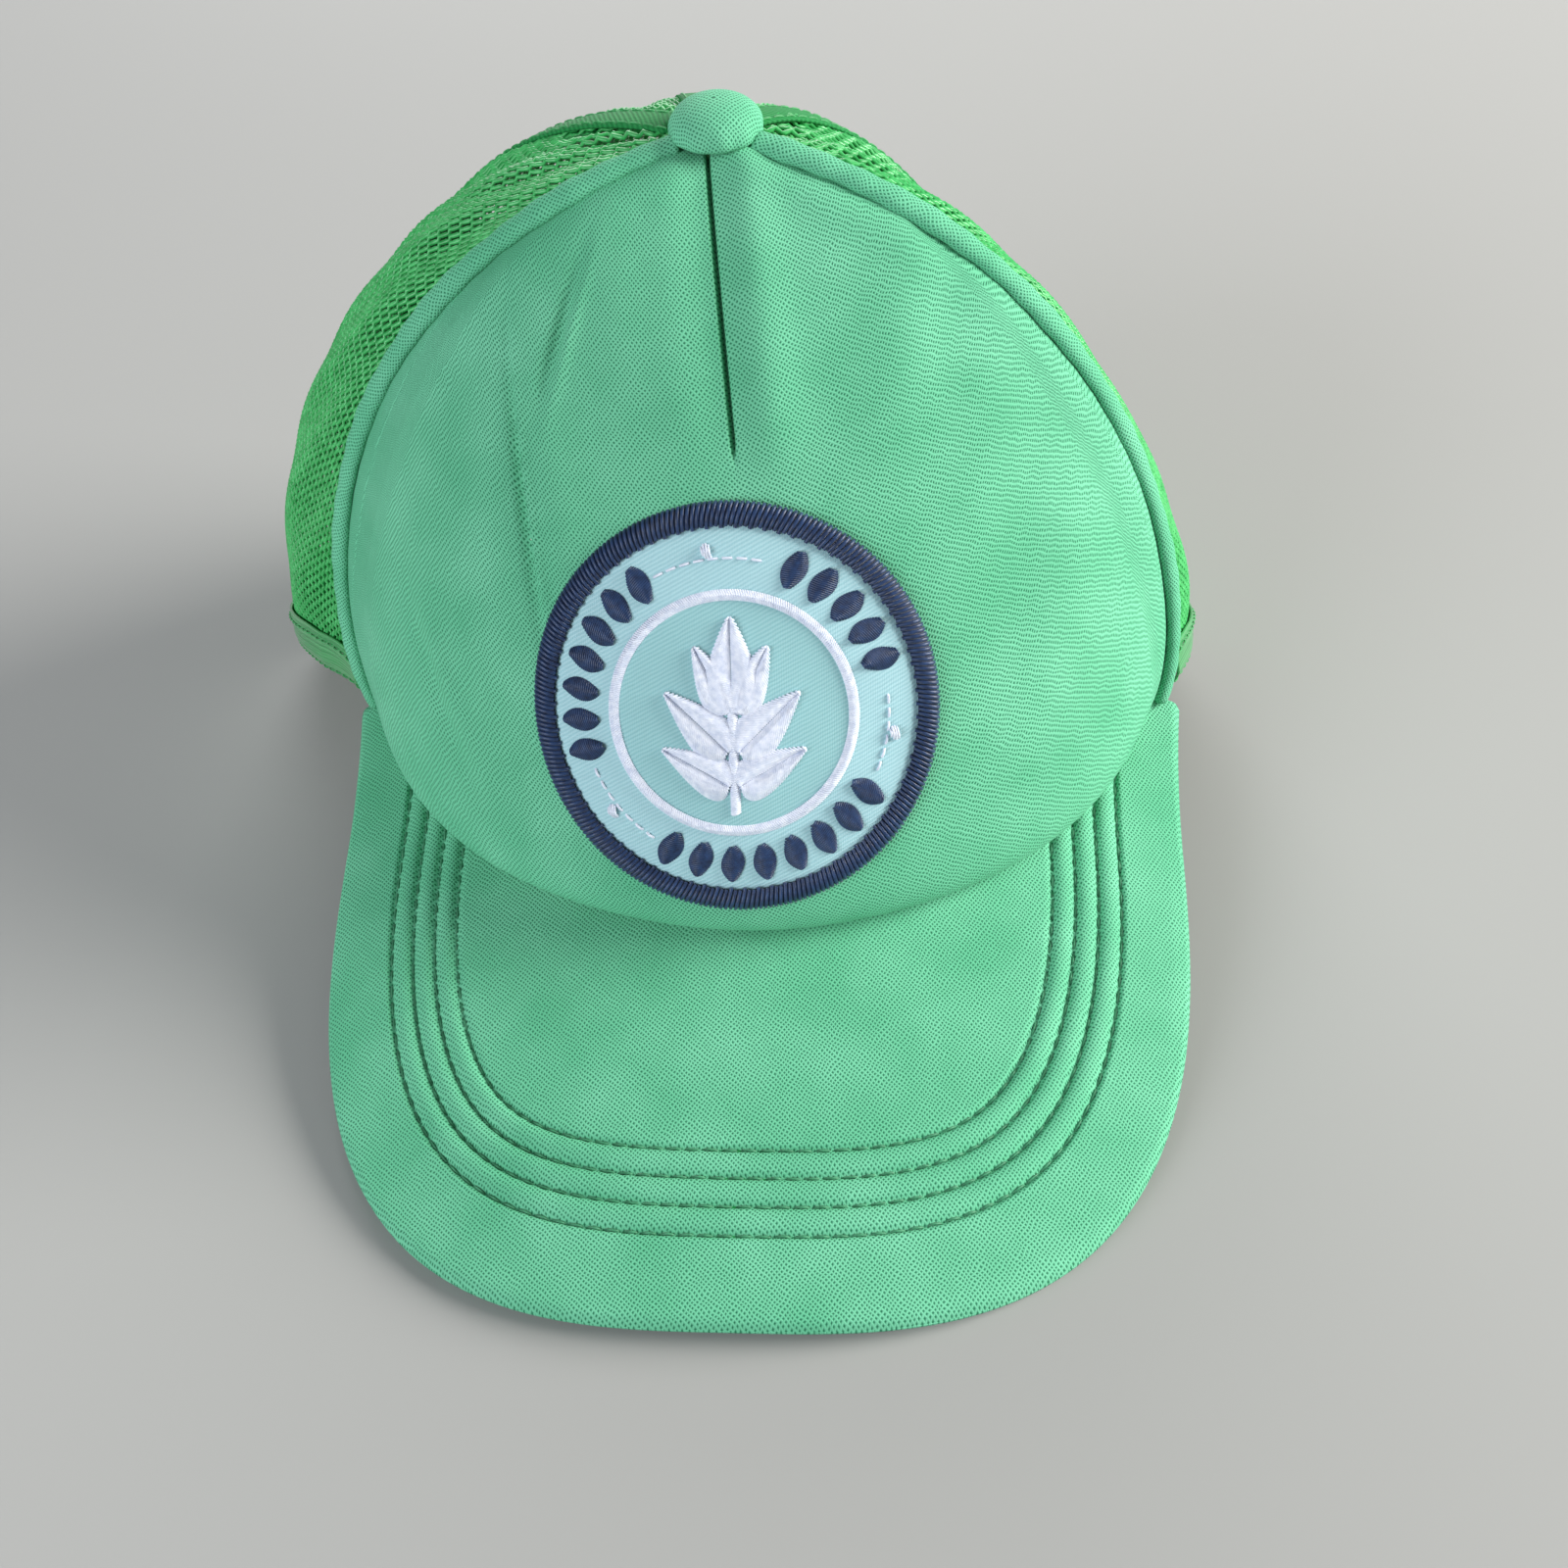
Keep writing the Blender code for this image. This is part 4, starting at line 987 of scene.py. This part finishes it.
def makeTwill():
    inner = patch["radius"] - patch["borderWidth"] + 0.0012
    radii = np.linspace(0.0004, inner, patch["rings"])[:, None]
    turns = np.linspace(0, 2 * math.pi, 201)[None, :]
    turns = np.concatenate([turns[:, -2::-1], turns[:, -2:-1]], 1)
    a, b = radii * np.cos(turns), radii * np.sin(turns)
    edge = 0.0005 * smoothStep((radii - 0.0325) / 0.002)
    lift = patch["twillLift"] + 0.00012 * np.sin(a * 240 + 1) * np.sin(b * 260) - edge
    shape = patchPoint(a, b, lift)
    piece = linkPiece("patchTwill", gridMesh("patchTwill", shape, np.stack([a, b], -1), iceTwill))
    facing = lambda faces: sum((face.normal * face.calc_area() for face in faces), Vector())
    seal(piece, lambda edge: edge.calc_length() < 0.0003, lambda faces: facing(faces).y > 0)
    finishPiece(thicken(piece, patch["ground"]), ["patch_twill"])


# The overlocked edge: a padded core wrapped by loops of thread, every third loop reaching further in.
def makeBorder():
    half = patch["borderWidth"] / 2
    middle = patch["radius"] - half
    turns = np.linspace(0, 2 * math.pi, 241)[:-1][:, None]
    section = np.linspace(0, 2 * math.pi, 15)[:-1][None, :]
    r = middle + (half - 0.0003) * np.cos(section)
    lift = 0.0010 + patch["borderHeight"] / 2 * np.sin(section)
    core = patchPoint(r * np.cos(turns), r * np.sin(turns), lift)
    cloth = np.stack(np.broadcast_arrays(section * 0.002, turns * middle), -1)
    core, cloth = np.concatenate([core, core[:1]]), np.concatenate([cloth, cloth[:1]])
    # The core's near-black colour is painted shade between the loops.
    ring = linkPiece("patchBorderCore", gridMesh("patchBorderCore", core, cloth, navyCoreShade, wrap=True))
    seal(ring)
    finishPiece(ring)
    bend = np.linspace(math.pi, -0.12, 8)
    strands = []
    for k in range(patch["loops"]):
        turn = 2 * math.pi * k / patch["loops"] + 0.030 * (1 - np.cos(bend)) / 2
        radius = middle + (half - 0.0002) * np.cos(bend)
        radius[0] -= 0.0004 if k % 3 == 0 else 0.0
        lift = 0.0009 + patch["borderHeight"] * 0.62 * np.sin(bend)
        lift[0] = patch["twillLift"] + 0.0001
        strands.append(patchPoint(radius * np.cos(turn), radius * np.sin(turn), lift))
    threads("patchBorder", strands, patch["overlock"], navyThread, "navy_thread", ["patch_border"])


# White ring, sprig and dashes, and plain upright navy leaves in three arcs.
def makeEmbroidery():
    thread, white = patch["thread"], (whiteThread, "white_thread")
    strands = []
    count = int(2 * math.pi * patch["ringRadius"] / patch["threadPitch"])
    for k in range(count):
        turn = 2 * math.pi * k / count + np.array([-0.02, 0, 0.02])
        radius = patch["ringRadius"] + np.array([-0.5, 0, 0.5]) * patch["ringWidth"]
        lift = patch["twillLift"] + np.array([0.0, 0.0006, 0.0])
        strands.append(patchPoint(radius * np.cos(turn), radius * np.sin(turn), lift))
    threads("patchRing", strands, thread, *white, ["patch_ring"])

    strands = satin((0.0, 0.001), (0.0, 0.0185), leafWidth(0.0052), 0.9, split=True)
    for side in (-1, 1):
        for foot, angle, length, width in patch["leaves"]:
            across, up = polar(length, angle)
            start, end = (side * 0.0012, foot), (side * across, foot + up)
            strands += satin(start, end, leafWidth(width), 0.9, split=True)
    strands += satin((0.0, -0.0185), (0.0, 0.002), lambda t: 0.0008, 0.3)
    threads("patchSprig", strands, thread, *white, ["patch_leaf"])

    strands = []
    for low, high in patch["dashes"]:
        for degrees in np.arange(low, high, 5.2):
            a, b = zip(*(polar(patch["dashRadius"], degrees + step) for step in (0, 1.1, 2.3, 3.4)))
            strands.append(patchPoint(a, b, patch["twillLift"] + np.array([0, 0.0003, 0.0003, 0])))
    dotWidth = lambda t: 0.0011 * math.sin(math.pi * t) ** 0.5 + 0.0002
    for degrees in patch["dots"]:
        centre, half = np.array(polar(patch["dotRadius"], degrees)), [patch["dotHalf"], 0]
        strands += satin(centre - half, centre + half, dotWidth, 0.2, lift=0.0001)
    threads("patchDashes", strands, thread, *white)

    strands = []
    for low, high, number in patch["marks"]:
        for degrees in np.linspace(low, high, number):
            start, end = polar(patch["bandInner"], degrees), polar(patch["bandOuter"], degrees)
            strands += satin(start, end, leafWidth(0.0021, 0.5), 0.25, pitch=0.00038)
    threads("patchMarks", strands, thread, navyThread, "navy_thread")


button = {
    "radius": 0.0083, "rise": 0.0055, "cloth": 0.0006,
    # how far in from the radius and down from the seat the cloth turns under
    "under": ((0.0002, 0.0003), (0.0008, 0.0008), (0.0026, 0.0009)),
}


# A shallow dome of cloth, gathered a little where it turns under.
def makeButton():
    seat = crown["height"] + crown["buttonSeat"]
    a = np.linspace(0.02, math.pi / 2, 20)
    out, up = button["radius"] * np.sin(a) ** 0.92, button["rise"] * np.maximum(np.cos(a), 0) ** 0.85
    under = [(button["radius"] - inset, -drop) for inset, drop in button["under"]]
    profile = np.concatenate([np.stack([out, up], -1), under])
    r, z, arc = profile[:, :1], profile[:, 1:], runningLength(profile)[:, None]
    turns = np.linspace(0, 2 * math.pi, 97)[None, :]
    flat = r - 0.00012 * np.sin(turns * 11 + 1) * smoothStep((r - 0.0065) / 0.002)
    centre = np.array([crown["buttonSide"], crown["buttonBack"], seat])
    shape = centre + np.stack([flat * np.cos(turns), flat * np.sin(turns), z + 0 * turns], -1)
    cloth = np.stack([arc * np.cos(turns), arc * np.sin(turns)], -1)
    piece = linkPiece("topButton", gridMesh("topButton", shape[::-1], cloth[::-1], tricot))
    top = place[2] + seat + 0.004
    highest = lambda faces: max(faces, key=lambda face: face.calc_center_median().z)
    seal(piece, lambda edge: edge.verts[0].co.z > top, lambda faces: highest(faces).normal.z < 0)
    finishPiece(thicken(piece, button["cloth"]), ["button_cover"])


# Pieces of the assembly that the visual model keeps as they are only take a material.
def dressNode(node, material):
    mesh = frame["nodes"][node].data
    mesh.materials.clear()
    mesh.materials.append(material)


strap = {
    "width": 0.018, "lift": 0.003, "thick": 0.0012, "pitch": 0.0095, "pegs": 6, "fastened": 4,
    "peg": 0.0019, "pegTaper": 0.88, "pegLength": 0.0030, "pegOut": 0.0015, "hole": 0.0023,
    "hingeThin": 0.8, "edge": 0.00022, "hingeHalf": 0.0014,
    # the strap's rounded section: out from its middle and up, as shares of half its thickness and width
    "section": (
        (-1, -0.94), (-0.55, -1), (0.55, -1), (1, -0.94), (1, 0),
        (1, 0.94), (0.55, 1), (-0.55, 1), (-1, 0.94), (-1, 0),
    ),
}


# The hinge, and how far the strap reaches past it: back into the binding, and out to its round end.
def strapPlan(bodyName, side):
    joint = next(j for j in frame["record"]["behaviour"]["joints"] if j["child"] == bodyName)
    hinge = np.array(joint["pos_m"])
    tab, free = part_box(f"{bodyName}_tab"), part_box(bodyName)
    far, end = (tab[1][0], free[0][0]) if side > 0 else (tab[0][0], free[1][0])
    drop = abs(tab[1][1] - tab[0][1]) - strap["thick"]
    return hinge, drop, abs(far - hinge[0]), abs(end - hinge[0])


def strapMesh(name, bodyName, side):
    hinge, drop, tabLength, length = strapPlan(bodyName, side)
    half = strap["width"] / 2
    straight = length - half
    xs = np.concatenate([
        np.linspace(-tabLength, -0.002, 9), np.linspace(-0.0012, 0.0012, 7), np.linspace(0.002, straight, 26),
        straight + half * np.sin(np.linspace(0, math.pi / 2, 11)[1:]),
    ])
    shape, columns = bmesh.new(), []
    for x in xs:
        wide = half if x <= straight else math.sqrt(max(half**2 - (x - straight) ** 2, (0.08 * half) ** 2))
        y = hinge[1] if x > 0 else hinge[1] - drop * (-x / tabLength) ** 1.05
        thick = strap["thick"] / 2 * (strap["hingeThin"] if abs(x) < 0.0015 else 1.0)
        columns.append([
            shape.verts.new((hinge[0] - side * x, y + out * thick, strap["lift"] + half + wide * up))
            for out, up in strap["section"]
        ])
    for last, column in zip(columns, columns[1:]):
        for i in range(len(column)):
            shape.faces.new((last[i - 1], last[i], column[i], column[i - 1]))
    shape.faces.new(columns[0])
    shape.faces.new(columns[-1])
    bmesh.ops.recalc_face_normals(shape, faces=shape.faces)
    return meshFrom(shape, name), hinge


def meshFrom(shape, name):
    mesh = bpy.data.meshes.new(name)
    shape.to_mesh(mesh)
    shape.free()
    return mesh


# Holes are cut through one strap and pegs joined on to the other, at the same places behind the cap.
def makeStrap(name, bodyName, side):
    mesh, hinge = strapMesh(name, bodyName, side)
    piece = linkPiece(name, mesh)
    first = -(strap["fastened"] - 1) / 2
    middle = crown["sway"] + place[0]
    if side > 0:
        foot, tip, depth, out = strap["hole"], strap["hole"], 4 * strap["thick"], 0
    else:
        foot, tip = strap["peg"] * strap["pegTaper"], strap["peg"]
        depth, out = strap["pegLength"], strap["pegOut"]
    tool = bmesh.new()
    for i in range(strap["pegs"]):
        x = middle + side * strap["pitch"] * (first + i)
        centre = (x, hinge[1] + out, strap["lift"] + strap["width"] / 2)
        matrix = Matrix.Translation(centre) @ Matrix.Rotation(math.pi / 2, 4, "X")
        bmesh.ops.create_cone(
            tool, cap_ends=True, segments=40, radius1=foot, radius2=tip, depth=depth, matrix=matrix
        )
    toolPiece = linkPiece(f"{name}Tool", meshFrom(tool, f"{name}Tool"))
    cut = piece.modifiers.new("pegs", "BOOLEAN")
    cut.operation, cut.solver, cut.object = "DIFFERENCE" if side > 0 else "UNION", "EXACT", toolPiece
    soften = piece.modifiers.new("softEdges", "BEVEL")
    soften.width, soften.segments = strap["edge"], 2
    soften.limit_method, soften.angle_limit = "ANGLE", math.radians(40)
    bake(piece)
    bpy.data.objects.remove(toolPiece)
    piece.data.materials.clear()
    piece.data.materials.append(polythene)
    piece.data.shade_smooth()
    piece.data.set_sharp_from_angle(angle=math.radians(35))
    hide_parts(bodyName, f"{bodyName}_tab")
    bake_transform(piece)


makeFront()
for word, side in (("Left", -1), ("Right", 1)):
    makePiping(word, side)
print("front made")
makeNetting()
print("netting made")
threads("hemStitches", makeHem("Left", -1) + makeHem("Right", 1), 0.0002, greenYarn, "clear_tape")
threads("sweatbandStitches", makeSweatband(), 0.00022, greenYarn, "green_tape")
threads("bindingStitches", makeBinding(), 0.00022, greenYarn, "green_tape")
print("rim made")
makeVisor()
dressNode("visor_board", polythene)
print("visor made")
makeTwill()
makeBorder()
makeEmbroidery()
print("patch made")
makeButton()
for part in ("shell", "post", "washer"):
    dressNode(f"button_{part}", steel)
print("button made")
makeStrap("holeStrap", "hole_strap", 1)
makeStrap("pegStrap", "peg_strap", -1)
print("closure made")

view = {
    "position": (0.029406, -0.245095, 0.269812), "tilt": 0.713, "roll": -0.089, "pan": 0.113, "lens": 35.1,
}
camera = bpy.data.objects.new("camera", bpy.data.cameras.new("camera"))
camera.data.lens, camera.data.sensor_width = view["lens"], 36
camera.matrix_world = (
    Matrix.Translation(Vector(view["position"]) + Vector(place))
    @ Matrix.Rotation(view["pan"], 4, "Z")
    @ Matrix.Rotation(view["tilt"], 4, "X")
    @ Matrix.Rotation(view["roll"], 4, "Z")
)
bpy.context.scene.collection.objects.link(camera)
bpy.context.scene.camera = camera

floorShape = bmesh.new()
bmesh.ops.create_grid(floorShape, x_segments=1, y_segments=1, size=3)
floor = linkPiece("floor", meshFrom(floorShape, "floor"))
floor.data.materials.append(newMaterial("palePaper", Roughness=0.9, Base_Color=toLinear("#a6a6a4"))[0])

bpy.context.scene.view_settings.view_transform = "Standard"

lights = [
    # name, bearing and height in degrees, size and distance in metres, watts, colour
    ("keySoftbox", 6, 24, 1.3, 2.2, 90, "#fffdf8"),
    ("backSoftbox", 100, 26, 0.9, 1.3, 9, "#fdfeff"),
    ("fillSoftbox", 226, 20, 1.0, 1.4, 15, "#f4f8ff"),
]
for name, bearing, height, size, distance, watts, colour in lights:
    lamp = bpy.data.lights.new(name, "AREA")
    lamp.shape, lamp.size, lamp.energy = "DISK", size, watts
    lamp.color = toLinear(colour)[:3]
    holder = bpy.data.objects.new(name, lamp)
    turned = Matrix.Rotation(math.radians(bearing), 4, "Z") @ Matrix.Rotation(math.radians(-height), 4, "Y")
    position = turned @ Vector((distance, 0, 0)) + Vector((0, 0, 0.05))
    holder.location = position
    holder.rotation_euler = (Vector((0, 0, 0.05)) - position).to_track_quat("-Z", "Y").to_euler()
    bpy.context.scene.collection.objects.link(holder)
world = bpy.data.worlds.new("studio")
world.use_nodes = True
world.node_tree.nodes["Background"].inputs[0].default_value = toLinear("#e8ecf0")
world.node_tree.nodes["Background"].inputs[1].default_value = 0.25
bpy.context.scene.world = world

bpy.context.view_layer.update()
